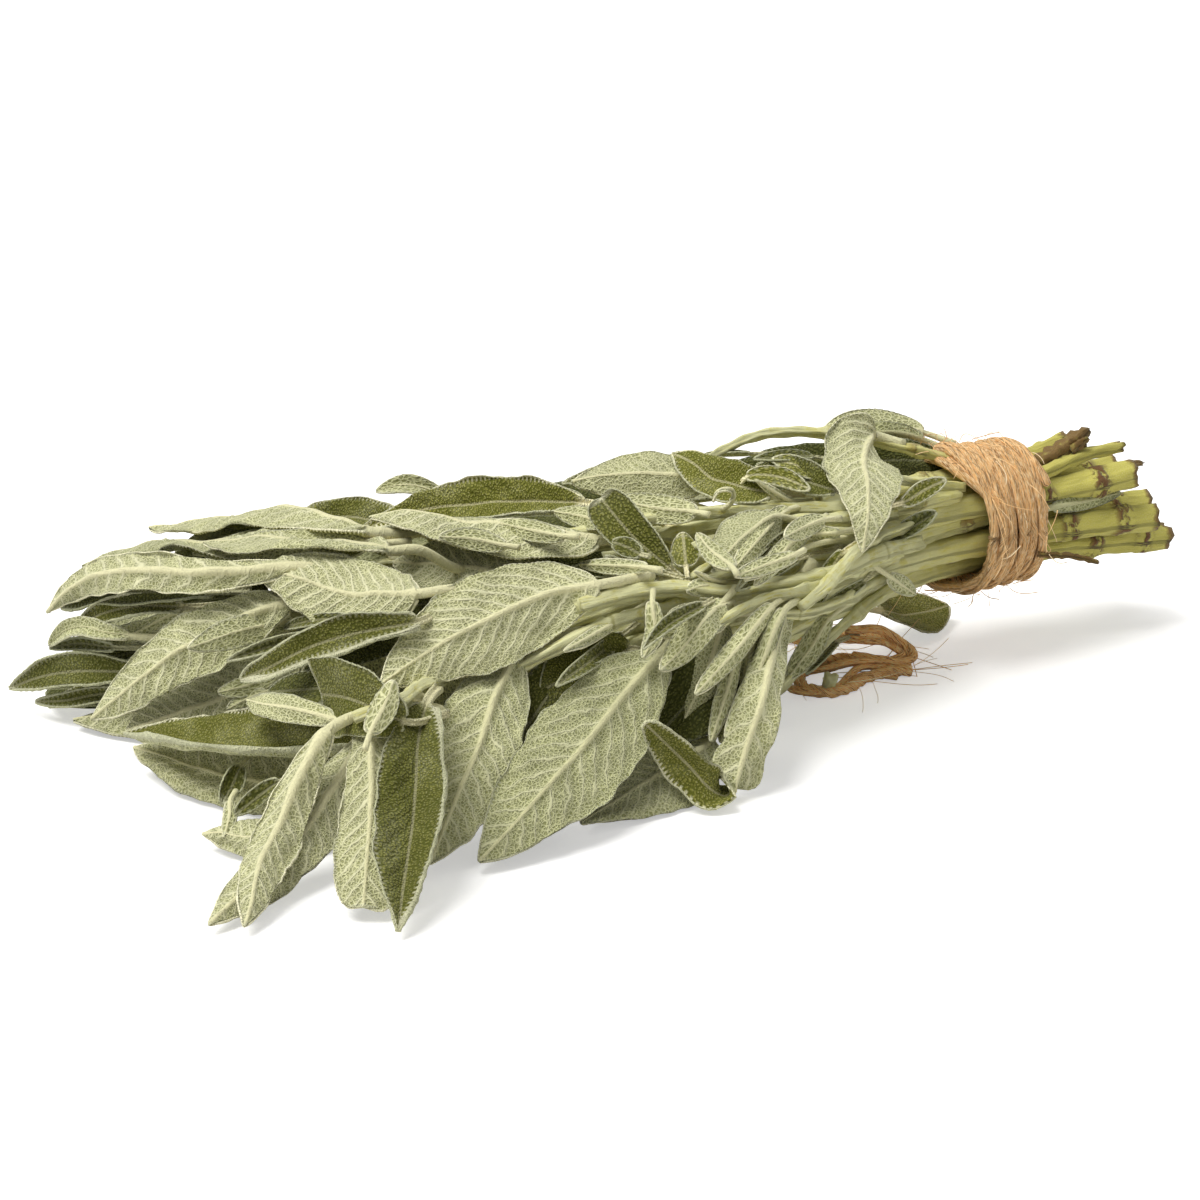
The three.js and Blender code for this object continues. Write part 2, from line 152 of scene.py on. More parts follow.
class StageSettings(PropertyGroup):
    focal_length: FloatProperty(
        name="Focal length", description="Lens of the camera, in millimetres", default=115, min=1
    )
    distance: length("Distance", "From the camera to the middle of the bunch", 0.75, high=10)
    key_strength: FloatProperty(name="Key light", description="Strength of the main light", default=3.2)
    key_softness: FloatProperty(
        name="Key softness", description="Angle that the main light fills", default=0.7, subtype="ANGLE"
    )
    sky_strength: FloatProperty(name="Sky", description="Strength of the even light", default=0.35)
    floor_glow: FloatProperty(
        name="Table glow", description="How much lighter the table top and its shadows are seen", default=0.45
    )
    floor: colour("Floor", "Table top", linear(236, 235, 233))


class BunchSettings(PropertyGroup):
    leaves: PointerProperty(type=LeafSettings)
    stems: PointerProperty(type=StemSettings)
    twine: PointerProperty(type=TwineSettings)
    stage: PointerProperty(type=StageSettings)


# ---- Curves and surfaces ----


def spline(knots, values, at):
    """Smooth curve through values at knots, read at the places in at."""
    knots = np.asarray(knots, float)
    values = np.asarray(values, float)
    slopes = np.gradient(values, knots, axis=0)
    k = np.clip(np.searchsorted(knots, at) - 1, 0, len(knots) - 2)
    step = knots[k + 1] - knots[k]
    t = (at - knots[k]) / step
    shape = (-1,) + (1,) * (values.ndim - 1)
    t, step = t.reshape(shape), step.reshape(shape)
    return (
        values[k] * (1 + 2 * t) * (1 - t) ** 2
        + slopes[k] * step * t * (1 - t) ** 2
        + values[k + 1] * t**2 * (3 - 2 * t)
        + slopes[k + 1] * step * t**2 * (t - 1)
    )


def unit(vectors):
    size = np.linalg.norm(vectors, axis=-1, keepdims=True)
    return vectors / np.maximum(size, 1e-9)


def arc(points):
    """Distance along points from the first."""
    return np.concatenate(([0.0], np.cumsum(np.linalg.norm(np.diff(points, axis=0), axis=1))))


def ramp(value, low, high):
    """0 below low, 1 above high, smooth between."""
    t = np.clip((value - low) / (high - low), 0, 1)
    return t * t * (3 - 2 * t)


def rings_of(node):
    """(start, rings, end) of a stem or leaf of the frame, in bunch millimetres. Its mesh is a row of rings of
    eight, closed by one vertex at either end, the only two with eight neighbours. The lower half of the rings
    is divided as a mirror of the upper half, so that a ring starts where the two halves meet."""
    half = RING // 2
    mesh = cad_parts[node].data
    places = np.array([v.co for v in mesh.vertices]) / MM - ORIGIN
    points, index = np.unique(np.round(places, 3), axis=0, return_inverse=True)
    index = index.reshape(-1)
    mesh.calc_loop_triangles()
    across = {}
    neighbours = {}
    for triangle in mesh.loop_triangles:
        a, b, c = (int(index[v]) for v in triangle.vertices)
        across[a, b], across[b, c], across[c, a] = c, a, b
        for v in (a, b, c):
            neighbours.setdefault(v, set()).update((a, b, c))
    poles = [v for v, near in neighbours.items() if len(near) == RING + 1]
    if len(poles) != 2:
        raise RuntimeError(f"{node} isn't a row of rings")

    def walk(pole):
        ring = [min(neighbours[pole] - {pole})]
        while len(ring) < RING:
            ring.append(across[ring[-1], pole])
        rings = []
        while True:
            ahead = [across[ring[j], ring[(j + 1) % RING]] for j in range(RING)]
            if len(set(ahead)) == 1:
                return points[pole], points[np.array(rings + [ring])], points[ahead[0]]
            seam = next(j for j in range(RING) if ahead[j - 1] == ahead[j])
            ring = ring[seam:] + ring[:seam]
            ahead = ahead[seam:] + ahead[:seam]
            rings.append(ring)
            opposite = across[ahead[half - 1], ring[half]]
            ring = ahead[:half] + [opposite] + ahead[half : RING - 1]

    return min((walk(pole) for pole in poles), key=lambda found: flatness(found[1][0]))


def flatness(ring):
    """How much longer a ring is than it is thick."""
    middle = ring.mean(0)
    reach = np.linalg.norm(ring - middle, axis=1)
    return reach.max() / max(np.median(reach), 1e-9)


def layered(shape, *values):
    """A vector for each place of a grid of that shape, from three values that are each spread over it."""
    return np.stack([np.broadcast_to(value, shape) for value in values], -1)


def make_piece(name, patches, materials, slots=None):
    """One mesh object made of patches, riding on the bunch. slots gives the material of each face."""
    points, faces, spots, layers = join_patches(patches)
    mesh = bpy.data.meshes.new(name)
    mesh.from_pydata(((points + ORIGIN) * MM).tolist(), [], faces)
    mesh.polygons.foreach_set("use_smooth", np.ones(len(faces), bool))
    for material in materials:
        mesh.materials.append(material)
    if slots is not None:
        mesh.polygons.foreach_set("material_index", slots)
    chart = mesh.uv_layers.new(name="OFBake")
    chart.data.foreach_set("uv", np.asarray(spots, np.float32).ravel())
    for layer, values in layers.items():
        attribute = mesh.attributes.new(layer, "FLOAT_VECTOR", "POINT")
        attribute.data.foreach_set("vector", np.asarray(values, np.float32).ravel())
    mesh.update()
    piece = bpy.data.objects.new(name, mesh)
    bpy.context.scene.collection.objects.link(piece)
    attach(piece, "root")
    return piece


# Room left free in the square that finishes are baked in, as shares of a patch's cell: along the sides of a
# patch, before its first row and behind its last one, and how much of that its caps reach into.
SIDE_ROOM = 0.01
END_ROOM = 0.02
CAP_REACH = 0.018
CELL_FILL = 0.98  # how much of its cell a patch takes up where several share the square


class Patch:
    """A closed skin made of rows of the same number of columns, with a cap vertex at either end."""

    def __init__(self, start, grid, end, **layers):
        self.points = np.vstack((start[None], grid.reshape(-1, 3), end[None]))
        rows, columns = grid.shape[:2]
        self.rows, self.columns = rows, columns
        k, j = np.meshgrid(np.arange(rows - 1), np.arange(columns), indexing="ij")
        n = (j + 1) % columns
        place = 1 + k * columns
        self.quads = np.stack((place + j, place + n, place + columns + n, place + columns + j), -1)
        self.quads = self.quads.reshape(-1, 4)
        last = len(self.points) - 1
        side = np.arange(columns)
        other = (side + 1) % columns
        self.first = np.stack((np.zeros(columns, int), 1 + other, 1 + side), -1)
        base = 1 + (rows - 1) * columns
        self.last = np.stack((np.full(columns, last), base + side, base + other), -1)
        self.flipped = self.volume() < 0
        if self.flipped:
            self.quads, self.first, self.last = (a[:, ::-1] for a in (self.quads, self.first, self.last))
        self.layers = {}
        for layer, values in layers.items():
            flat = values.reshape(-1, 3)
            self.layers[layer] = np.vstack((flat[:columns].mean(0), flat, flat[-columns:].mean(0)))

    def volume(self):
        """A number that is negative where the faces look inwards."""
        p = self.points
        middle = p.mean(0)
        a, b, c, d = (p[self.quads[:, i]] - middle for i in range(4))
        return float(np.sum(a * np.cross(b, c)) + np.sum(a * np.cross(c, d)))

    def spots(self, box):
        """Where each corner of each face lies in the square that finishes are baked in, inside box."""
        grid = self.points[1:-1].reshape(self.rows, self.columns, 3)
        closed = np.concatenate((grid, grid[:, :1]), axis=1)
        around = np.linalg.norm(np.diff(closed, axis=1), axis=2).max(0)
        u = np.concatenate(([0.0], np.cumsum(around)))
        u = u / u[-1]
        v = arc(grid.mean(1))
        v = END_ROOM + (1 - 2 * END_ROOM) * v / v[-1]
        left, low, right, high = box
        u = left + (right - left) * (SIDE_ROOM + (1 - 2 * SIDE_ROOM) * u)
        v = low + (high - low) * v
        k, j = np.meshgrid(np.arange(self.rows - 1), np.arange(self.columns), indexing="ij")
        corners = [(k, j), (k, j + 1), (k + 1, j + 1), (k + 1, j)]
        quads = np.stack([np.stack((u[b], v[a]), -1) for a, b in corners], 2).reshape(-1, 4, 2)
        side = np.arange(self.columns)
        middle = (u[side] + u[side + 1]) / 2
        low_edge, high_edge = np.full(self.columns, v[0]), np.full(self.columns, v[-1])
        tips = CAP_REACH * (high - low)
        first = [(middle, low_edge - tips), (u[side + 1], low_edge), (u[side], low_edge)]
        last = [(middle, high_edge + tips), (u[side], high_edge), (u[side + 1], high_edge)]
        first, last = (np.stack([np.stack(c, -1) for c in cap], 1) for cap in (first, last))
        if self.flipped:
            quads, first, last = quads[:, ::-1], first[:, ::-1], last[:, ::-1]
        return np.vstack((quads.reshape(-1, 2), first.reshape(-1, 2), last.reshape(-1, 2)))

    def faces(self, offset):
        return (self.quads + offset).tolist() + (self.first + offset).tolist() + (self.last + offset).tolist()


def join_patches(patches):
    """Points, faces, bake places and layers of several patches, each in its own cell of the square."""
    side = int(np.ceil(np.sqrt(len(patches))))
    fill = (1.0 if side == 1 else CELL_FILL) / side
    points, faces, spots, layers = [], [], [], {}
    offset = 0
    for k, patch in enumerate(patches):
        left, low = (k % side) / side, (k // side) / side
        spots.append(patch.spots((left, low, left + fill, low + fill)))
        faces += patch.faces(offset)
        points.append(patch.points)
        for layer, values in patch.layers.items():
            layers.setdefault(layer, []).append(values)
        offset += len(patch.points)
    return np.vstack(points), faces, np.vstack(spots), {n: np.vstack(v) for n, v in layers.items()}


# ---- Finishes ----


class Finish:
    """A material under construction. Its methods add nodes and return the socket they end in."""

    def __init__(self, name):
        self.material = bpy.data.materials.new(name)
        self.material.use_nodes = True
        self.tree = self.material.node_tree
        self.tree.nodes.clear()
        self.shader = self.tree.nodes.new("ShaderNodeBsdfPrincipled")
        output = self.tree.nodes.new("ShaderNodeOutputMaterial")
        self.tree.links.new(self.shader.outputs["BSDF"], output.inputs["Surface"])

    def node(self, kind, inputs, **settings):
        node = self.tree.nodes.new(kind)
        for name, value in settings.items():
            setattr(node, name, value)
        for name, value in inputs.items():
            if isinstance(value, bpy.types.NodeSocket):
                self.tree.links.new(value, node.inputs[name])
            else:
                node.inputs[name].default_value = value
        return node

    def math(self, operation, first, *others):
        """first as the operation makes it, with each of the others in turn if it takes two values."""
        for other in others or (0.0,):
            first = self.node("ShaderNodeMath", {0: first, 1: other}, operation=operation).outputs[0]
        return first

    def plus(self, *values):
        return self.math("ADD", *values)

    def minus(self, first, second):
        return self.math("SUBTRACT", first, second)

    def times(self, *values):
        return self.math("MULTIPLY", *values)

    def most(self, *values):
        return self.math("MAXIMUM", *values)

    def step(self, value, low, high, start, stop):
        """start below low, stop above high, smooth between."""
        inputs = {"Value": value, "From Min": low, "From Max": high, "To Min": start, "To Max": stop}
        node = self.node("ShaderNodeMapRange", inputs, interpolation_type="SMOOTHSTEP")
        return node.outputs["Result"]

    def rises(self, value, low, high, top=1.0):
        return self.step(value, low, high, 0.0, top)

    def falls(self, value, low, high, top=1.0):
        return self.step(value, low, high, top, 0.0)

    def mix(self, share, a, b, blend="MIX"):
        a, b = (c if isinstance(c, bpy.types.NodeSocket) else (*c, 1.0) for c in (a, b))
        node = self.node("ShaderNodeMix", {0: share, 6: a, 7: b}, data_type="RGBA", blend_type=blend)
        return node.outputs[2]

    def layer(self, name):
        vector = self.node("ShaderNodeAttribute", {}, attribute_name=name).outputs["Vector"]
        return self.node("ShaderNodeSeparateXYZ", {0: vector}).outputs

    def place(self, x, y):
        return self.node("ShaderNodeCombineXYZ", {0: x, 1: y}).outputs[0]

    def noise(self, vector, scale, detail=2.0, roughness=0.5):
        inputs = {"Vector": vector, "Scale": scale, "Detail": detail, "Roughness": roughness}
        return self.node("ShaderNodeTexNoise", inputs).outputs["Fac"]

    def cells(self, vector, scale, feature):
        inputs = {"Vector": vector, "Scale": scale}
        node = self.node("ShaderNodeTexVoronoi", inputs, feature=feature, voronoi_dimensions="2D")
        return node.outputs["Distance"]

    def vector(self, operation, a, b):
        return self.node("ShaderNodeVectorMath", {0: a, 1: b}, operation=operation).outputs[0]

    def warped(self, place, amount, scale):
        """place, moved about by a noise so that what is drawn there isn't regular."""
        inputs = {"Vector": place, "Scale": scale, "Detail": 2.0}
        sway = self.node("ShaderNodeTexNoise", inputs).outputs["Color"]
        inputs = {0: self.vector("SUBTRACT", sway, (0.5, 0.5, 0.5)), "Scale": amount}
        shift = self.node("ShaderNodeVectorMath", inputs, operation="SCALE").outputs[0]
        return self.vector("ADD", place, shift)

    def bump(self, height):
        """height is in millimetres."""
        normal = self.node("ShaderNodeBump", {"Height": height, "Distance": MM}).outputs["Normal"]
        self.tree.links.new(normal, self.shader.inputs["Normal"])

    def finish(self, base, roughness, sheen=0.0, sheen_tint=(1, 1, 1), specular=0.3):
        self.tree.links.new(base, self.shader.inputs["Base Color"])
        self.shader.inputs["Roughness"].default_value = roughness
        self.shader.inputs["Sheen Weight"].default_value = sheen
        self.shader.inputs["Sheen Roughness"].default_value = 0.5
        self.shader.inputs["Sheen Tint"].default_value = (*sheen_tint, 1)
        self.shader.inputs["Specular IOR Level"].default_value = specular
        return self.material


# How far a finish's pattern moves on, in mm, as the number of a leaf, stem or length of twine grows by one.
LEAF_APART = 53.0
STEM_APART = 61.0
TWINE_APART = 17.0
TICK_SPACING = 0.8  # mm between the fine marks along a margin
VEIN_CLOSENESS = 0.75  # the distance to a side vein, as a share of the distance along the midrib
# The numbers that leaves carry, by which their finish tells them apart: how many large leaves, and how many
# small leaves of one bundle, come to each whole number, and where the bundles start.
LARGE_PER_NUMBER = 7
SMALL_PER_NUMBER = 20
SMALL_LEAF_NUMBER = 9
# Where the same numbers start for the stems inside the bunch, the branches and the stubs. Those of the frame
# start from 0.
INNER_STEM_NUMBER = 20
BRANCH_NUMBER = 40
STUB_NUMBER = 60
# What the colours of the darkest and of the lightest leaf are multiplied by.
UNDERSIDE_TONES = ((0.66, 0.68, 0.6), (1.0, 1.0, 1.0))
UPPER_SIDE_TONES = ((0.5, 0.52, 0.5), (1.5, 1.45, 1.5))
# What the colours of the loose tail and of the fibres are multiplied by. That of the tail is painted light:
# it lightens the tail and its frayed strands as if the bunch didn't shade them.
TAIL_PAINTED_LIGHT = (1.4, 1.35, 1.25)
FIBRE_TINT = (1.3, 1.45, 1.65)
# The numbers that lengths of twine carry, by which their finish tells them apart: the turns of the winding
# from 1, the tail, the strands frayed from it and what they split into, and the fibres.
WINDING_NUMBER = 1
TAIL_NUMBER = 10
STRAND_NUMBER = 20
SPLIT_NUMBER = 30
FIBRE_NUMBER = 50


def leaf_layers(f):
    """The sockets that every leaf finish starts from. edge, gap and reach are distances in mm from the
    margin, the nearest side vein and the midrib. inner, blade and size are 0 where none of the veins show:
    at the margin, on the petiole and on the smallest leaves."""
    along, across, edge = f.layer("leaf_at")
    phase, share, spacing = f.layer("leaf_vein")
    tone, number, petiole = f.layer("leaf_tone")
    place = f.place(f.plus(along, f.times(number, LEAF_APART)), across)
    drift = f.times(f.minus(f.noise(place, 0.3), 0.5), 0.9)
    between = f.math("ABSOLUTE", f.minus(f.math("FRACT", f.plus(phase, drift)), 0.5))
    reach = f.math("ABSOLUTE", across)
    return SimpleNamespace(
        edge=edge,
        share=share,
        tone=tone,
        petiole=petiole,
        place=place,
        gap=f.times(between, spacing, VEIN_CLOSENESS),
        reach=reach,
        inner=f.rises(f.math("DIVIDE", edge, f.plus(edge, reach)), 0.02, 0.4),
        ticks=f.math("SINE", f.times(along, TAU / TICK_SPACING)),
        blade=f.minus(1.0, petiole),
        size=f.rises(spacing, 1.5, 3.2),
    )


def underside_finish(settings):
    f = Finish("sage leaf underside")
    at = leaf_layers(f)
    vein = f.times(f.falls(at.gap, 0.08, 0.34), at.inner, at.size)
    # Painted light and shade of the quilted blade: lighter beside the side veins, darker between them.
    glow = f.times(f.falls(at.gap, 0.1, 1.4), at.inner, at.size)
    rib_reach = f.times(f.step(at.share, 0.0, 1.0, 0.85, 0.3), f.plus(f.times(at.size, 0.5), 0.5))
    rib = f.most(f.falls(f.math("DIVIDE", at.reach, rib_reach), 0.6, 1.15), at.petiole)
    netting = f.warped(at.place, 0.9, 0.8)
    fine = f.cells(netting, 1.5, "DISTANCE_TO_EDGE")
    coarse = f.cells(netting, 0.62, "DISTANCE_TO_EDGE")
    felt = f.noise(at.place, 3.2, 3.0, 0.65)
    link = f.falls(coarse, 0.02, 0.12, 0.55)
    # The hollows of the net, sunk in the bump and darkened: partly their own colour, partly painted shade.
    pits = f.times(f.rises(fine, 0.04, 0.26), f.step(felt, 0.3, 0.6, 0.35, 1.0))
    pits = f.times(pits, f.minus(1.0, f.most(vein, link, rib)))

    patches = f.noise(at.place, 0.16, 3.0)
    dark_pits_and_shade, light_pits_and_shade = settings.underside_pits_and_shade, scaled(settings.underside_pits_and_shade, 1.35)
    deep = f.mix(f.rises(patches, 0.32, 0.68), dark_pits_and_shade, light_pits_and_shade)
    pale = f.mix(f.rises(patches, 0.3, 0.7), scaled(settings.underside, 0.84), settings.underside)
    base = f.mix(f.times(pits, 0.85), pale, deep)
    # Painted light beside the side veins.
    base = f.mix(f.times(glow, 0.3), base, settings.vein)
    base = f.mix(f.times(vein, 0.65), base, settings.vein)
    ribbing = f.mix(f.rises(felt, 0.3, 0.7), scaled(settings.rib, 0.86), settings.rib)
    base = f.mix(rib, base, ribbing)
    hem = f.falls(at.edge, 0.12, 0.4, 0.8)
    tick = f.times(f.falls(at.edge, 0.4, 0.8), f.rises(at.ticks, -0.2, 0.9, 0.75))
    rim = f.times(f.most(hem, tick), at.blade)
    base = f.mix(rim, base, settings.margin)
    base = f.mix(1.0, base, f.mix(at.tone, *UNDERSIDE_TONES), "MULTIPLY")

    lines = f.times(f.most(link, vein), 0.1)
    f.bump(f.plus(f.times(pits, -0.24), lines, f.times(felt, 0.16), f.times(rim, 0.1)))
    return f.finish(base, roughness=0.9, sheen=0.22, sheen_tint=(0.98, 1.0, 0.82), specular=0.2)


def upper_finish(settings):
    f = Finish("sage leaf upper side")
    at = leaf_layers(f)
    pebbling = f.warped(at.place, 0.5, 1.1)
    pebble = f.cells(f.vector("MULTIPLY", pebbling, (1.25, 0.85, 1.0)), 2.1, "F1")
    coarse = f.cells(pebbling, 0.45, "DISTANCE_TO_EDGE")
    # The rounded tops of the pebbles: they rise in the bump and take the lighter colour as painted highlight.
    pebble_relief_and_light = f.falls(pebble, 0.12, 0.62)
    # Painted shade: the creases between the pebbles and along the sunken veins are darkened, and dented in
    # the bump.
    vein_furrow_shade = f.times(f.falls(at.gap, 0.03, 0.3, 0.5), at.size)
    crease_relief_and_shade = f.most(f.falls(coarse, 0.0, 0.1, 0.3), vein_furrow_shade)
    felt = f.noise(at.place, 2.6, 3.0, 0.6)

    patches = f.noise(at.place, 0.14, 3.0)
    crest = f.mix(f.rises(patches, 0.3, 0.7), scaled(settings.upper_side, 0.72), settings.upper_side)
    # Painted highlight and painted shade: the pebble tops are light and the creases between them dark.
    base = f.mix(pebble_relief_and_light, settings.upper_crease_shade, crest)
    base = f.mix(f.times(crease_relief_and_shade, 0.6), base, settings.upper_crease_shade)
    # Painted highlight: a pale glint on the highest pebble tops.
    glint = f.times(f.rises(pebble_relief_and_light, 0.75, 1.0), f.rises(felt, 0.45, 0.7))
    base = f.mix(f.times(glint, 0.25), base, settings.margin)
    veil = f.times(f.rises(patches, 0.45, 0.75), f.rises(felt, 0.35, 0.65))
    base = f.mix(f.times(veil, 0.22), base, settings.margin)
    base = f.mix(f.falls(at.reach, 0.12, 0.42, 0.5), base, scaled(settings.rib, 0.6))
    base = f.mix(at.petiole, base, scaled(settings.rib, 0.9))
    hem = f.falls(at.edge, 0.1, 0.38, 0.9)
    tick = f.times(f.falls(at.edge, 0.35, 1.1), f.rises(at.ticks, -0.4, 0.8, 0.85))
    tick = f.times(tick, f.plus(f.times(at.size, 0.6), 0.4))
    rim = f.times(f.most(hem, tick), at.blade)
    base = f.mix(rim, base, settings.margin)
    base = f.mix(1.0, base, f.mix(at.tone, *UPPER_SIDE_TONES), "MULTIPLY")

    height = f.plus(f.times(pebble_relief_and_light, 0.2), f.times(felt, 0.08))
    f.bump(f.plus(f.minus(height, f.times(crease_relief_and_shade, 0.14)), f.times(rim, 0.12)))
    return f.finish(base, roughness=0.8, sheen=0.1, sheen_tint=(0.98, 1.0, 0.7), specular=0.2)


def stem_finish(settings):
    f = Finish("sage stem")
    along, around, node = f.layer("stem_at")
    cut, age, number = f.layer("stem_age")
    apart = f.times(number, STEM_APART)
    lengthwise = f.place(f.plus(f.times(along, 0.12), apart), around)
    place = f.place(f.plus(along, apart), around)
    streaks = f.noise(lengthwise, 1.6, 3.0, 0.6)
    spots = f.noise(place, 0.35, 3.0, 0.6)
    down = f.noise(place, 4.5, 2.0, 0.7)

    young = f.mix(streaks, scaled(settings.young, 0.74), scaled(settings.young, 1.2))
    old = f.mix(streaks, scaled(settings.old, 0.72), scaled(settings.old, 1.2))
    green = f.times(f.rises(streaks, 0.42, 0.62), f.rises(spots, 0.4, 0.62, 0.75))
    young = f.mix(green, young, scaled(settings.old, 1.05))
    base = f.mix(age, young, old)
    base = f.mix(f.rises(down, 0.45, 0.75, 0.5), base, settings.pith)
    base = f.mix(f.falls(node, 0.15, 0.7, 0.55), base, scaled(settings.old, 0.55))
    corky = f.times(f.falls(node, 0.8, 3.2), f.rises(spots, 0.46, 0.56), age)
    ragged = f.plus(cut, f.times(f.minus(spots, 0.5), 4.0))
    corky = f.most(corky, f.falls(ragged, 0.1, 1.3, 0.9))
    base = f.mix(corky, base, settings.scar)

    height = f.plus(f.times(streaks, 0.35), f.times(down, 0.12))
    f.bump(f.plus(height, f.times(corky, f.times(spots, 0.9))))
    return f.finish(base, roughness=0.8, sheen=0.15, sheen_tint=(0.98, 1.0, 0.8), specular=0.25)


def twine_finish(settings):
    f = Finish("jute twine")
    along, around, number = f.layer("twine_at")
    lengthwise = f.place(f.plus(f.times(along, 0.1), f.times(number, TWINE_APART)), around)
    strands = f.noise(lengthwise, 2.2, 3.0, 0.65)
    hair_relief_and_highlight = f.noise(lengthwise, 7.0, 2.0, 0.6)
    # Painted shade and highlight over the jute's own streaks: dark where the bump sinks between the strands,
    # light on the fine raised fibres.
    base = f.mix(f.rises(strands, 0.36, 0.56), settings.dark, settings.middle)
    base = f.mix(f.rises(hair_relief_and_highlight, 0.42, 0.68), base, settings.light)
    # Painted light: the tail and its frayed strands are lightened by their tint.
    tint = f.mix(f.rises(number, FIBRE_NUMBER - 5, FIBRE_NUMBER - 4), TAIL_PAINTED_LIGHT, FIBRE_TINT)
    tinted = f.mix(1.0, base, tint, "MULTIPLY")
    base = f.mix(f.rises(number, TAIL_NUMBER - 2, TAIL_NUMBER - 1), base, tinted)
    f.bump(f.plus(f.times(strands, 0.6), f.times(hair_relief_and_highlight, 0.25)))
    return f.finish(base, roughness=0.85, sheen=0.1, sheen_tint=(1.0, 0.85, 0.6), specular=0.2)


def shared(name, make, settings):
    """The material of that name, made the first time it is asked for."""
    return bpy.data.materials.get(name) or make(settings)


def leaf_finishes(settings):
    """The materials of a leaf, in the order that leaf_slots gives them."""
    return [
        shared("sage leaf upper side", upper_finish, settings),
        shared("sage leaf underside", underside_finish, settings),
    ]


# ---- Leaves ----

BLADE_LINES = np.array((-1.0, -0.5, 0.0, 0.5, 1.0))  # places across a blade of the lines it is drawn by
FRONT = (-0.5, -0.866)  # which way, in x and y, the side of the bunch that is seen faces
THINNEST_PETIOLE = 0.4  # radius in mm
PETIOLE_GAIN = 0.016  # what each mm of the blade adds to it


class Blade:
    """The line, the width and the way a leaf faces, from its root in the stem to its tip."""

    def __init__(self, knots, middles, sides, edges, spread):
        self.knots, self.middles, self.sides = knots, middles, sides
        self.edges, self.spread = edges, spread
        self.length = arc(middles[knots > 0])[-1]
        self.petiole_radius = THINNEST_PETIOLE + PETIOLE_GAIN * self.length


def frame_outline(share):
    """Half width of a blade of the frame as a share of its widest."""
    return (4 * share * (1 - share)) ** BLADE_ROUND


def outline(share, base, tip):
    """Half width of a real blade as a share of its widest. A smaller power makes a blunter end."""
    inside = np.clip(share, 0, 1)
    widest = base / (base + tip)
    return inside**base * (1 - inside) ** tip / (widest**base * (1 - widest) ** tip)


def frame_blade(node, stem_lines):
    """The blade that a leaf of the frame stands for. Its root goes into the nearest stem."""
    into_stem = (2.0, 0, -0.6)  # from the nearest point of the stem's middle line, in mm
    reached = 0.95  # how much of the way there the root goes
    start, rings, end = rings_of(node)
    middles = (rings[:, 2] + rings[:, 6]) / 2
    middles[:2] = (rings[:2, 0] + rings[:2, 4]) / 2
    blade_length = arc(middles[2:])[-1] / (BLADE_RINGS[-1] - BLADE_RINGS[0])
    petiole_length = np.linalg.norm(middles[1] - start) / PETIOLE_RINGS[1]
    back = petiole_length / blade_length
    nearest = [line[np.argmin(np.linalg.norm(line - start, axis=1))] for line in stem_lines]
    stem = min(nearest, key=lambda point: np.linalg.norm(point - start))
    root = start + (stem + into_stem - start) * reached
    reach = np.linalg.norm(root - start) / blade_length
    knots = np.concatenate(([-back - reach, -back], -back * (1 - PETIOLE_RINGS), BLADE_RINGS, [1.0]))
    keep = np.concatenate(([True], np.diff(knots) > 1e-4))
    keep[1] = keep[1] and np.dot(unit(start - root), unit(middles[0] - start)) > 0.5
    line = np.vstack((root, start, middles, end))
    sides = unit(rings[:, 0] - rings[:, 4])
    sides = np.vstack((sides[:1], sides[:1], sides, sides[-1:]))
    blade = rings[2:]
    inner = [(blade[:, 4 - k] + blade[:, 4 + k]) / 2 for k in (1, 2, 3)]
    spread = np.stack((blade[:, 4], *inner, blade[:, 0]), axis=1)
    spread = (spread - spread[:, 2:3]) / frame_outline(BLADE_RINGS)[:, None, None]
    return Blade(knots[keep], line[keep], sides[keep], BLADE_RINGS, spread)


def across_weights(places):
    """Weights of the lines that a blade is drawn by, at places from -1 to 1 across it."""
    weights = np.ones((*places.shape, len(BLADE_LINES)))
    for i, line in enumerate(BLADE_LINES):
        for j, other in enumerate(BLADE_LINES):
            if i != j:
                weights[..., i] *= (places - other) / (line - other)
    return weights


def drawn_blade(shows, width, tilt, cup, points):
    """The blade of a leaf along points, from its root and the base of its blade to its tip. tilt gives how
    far the side it shows leans from straight up towards the front, in degrees, at even steps from the base to
    the tip. cup is how far its edges rise towards its upper side, as a share of the half width."""
    line = np.array(points, float)
    places = arc(line)
    knots = (places - places[1]) / (places[-1] - places[1])
    lean = np.radians(np.interp(knots, np.linspace(0, 1, len(tilt)), tilt))
    outward = np.stack((FRONT[0] * np.sin(lean), FRONT[1] * np.sin(lean), np.cos(lean)), -1)
    along = unit(np.gradient(line, places, axis=0))
    shown = unit(outward - np.sum(outward * along, axis=1, keepdims=True) * along)
    upper = shown if shows == "upper" else -shown
    sides = np.cross(upper, along)
    lines = BLADE_LINES[None, :, None]
    spread = width / 2 * (sides[1:, None] * lines + cup * upper[1:, None] * np.abs(lines))
    return Blade(knots, line, sides, knots[1:], spread)


ROLL_TURN = 2.5  # how far a rolled margin turns over, in radians
ROLL_MOST = 0.42  # the most of a half width that rolls over
PLAIN_STRIP = 0.7  # the widest strip, in mm, that rolls over without a broad pale margin
PALE_SHARE = 0.6  # how much of a strip beyond that is pale


def picked(across, sides):
    """The second of sides where across is positive, the first elsewhere."""
    return np.where(across > 0, sides[1], sides[0])


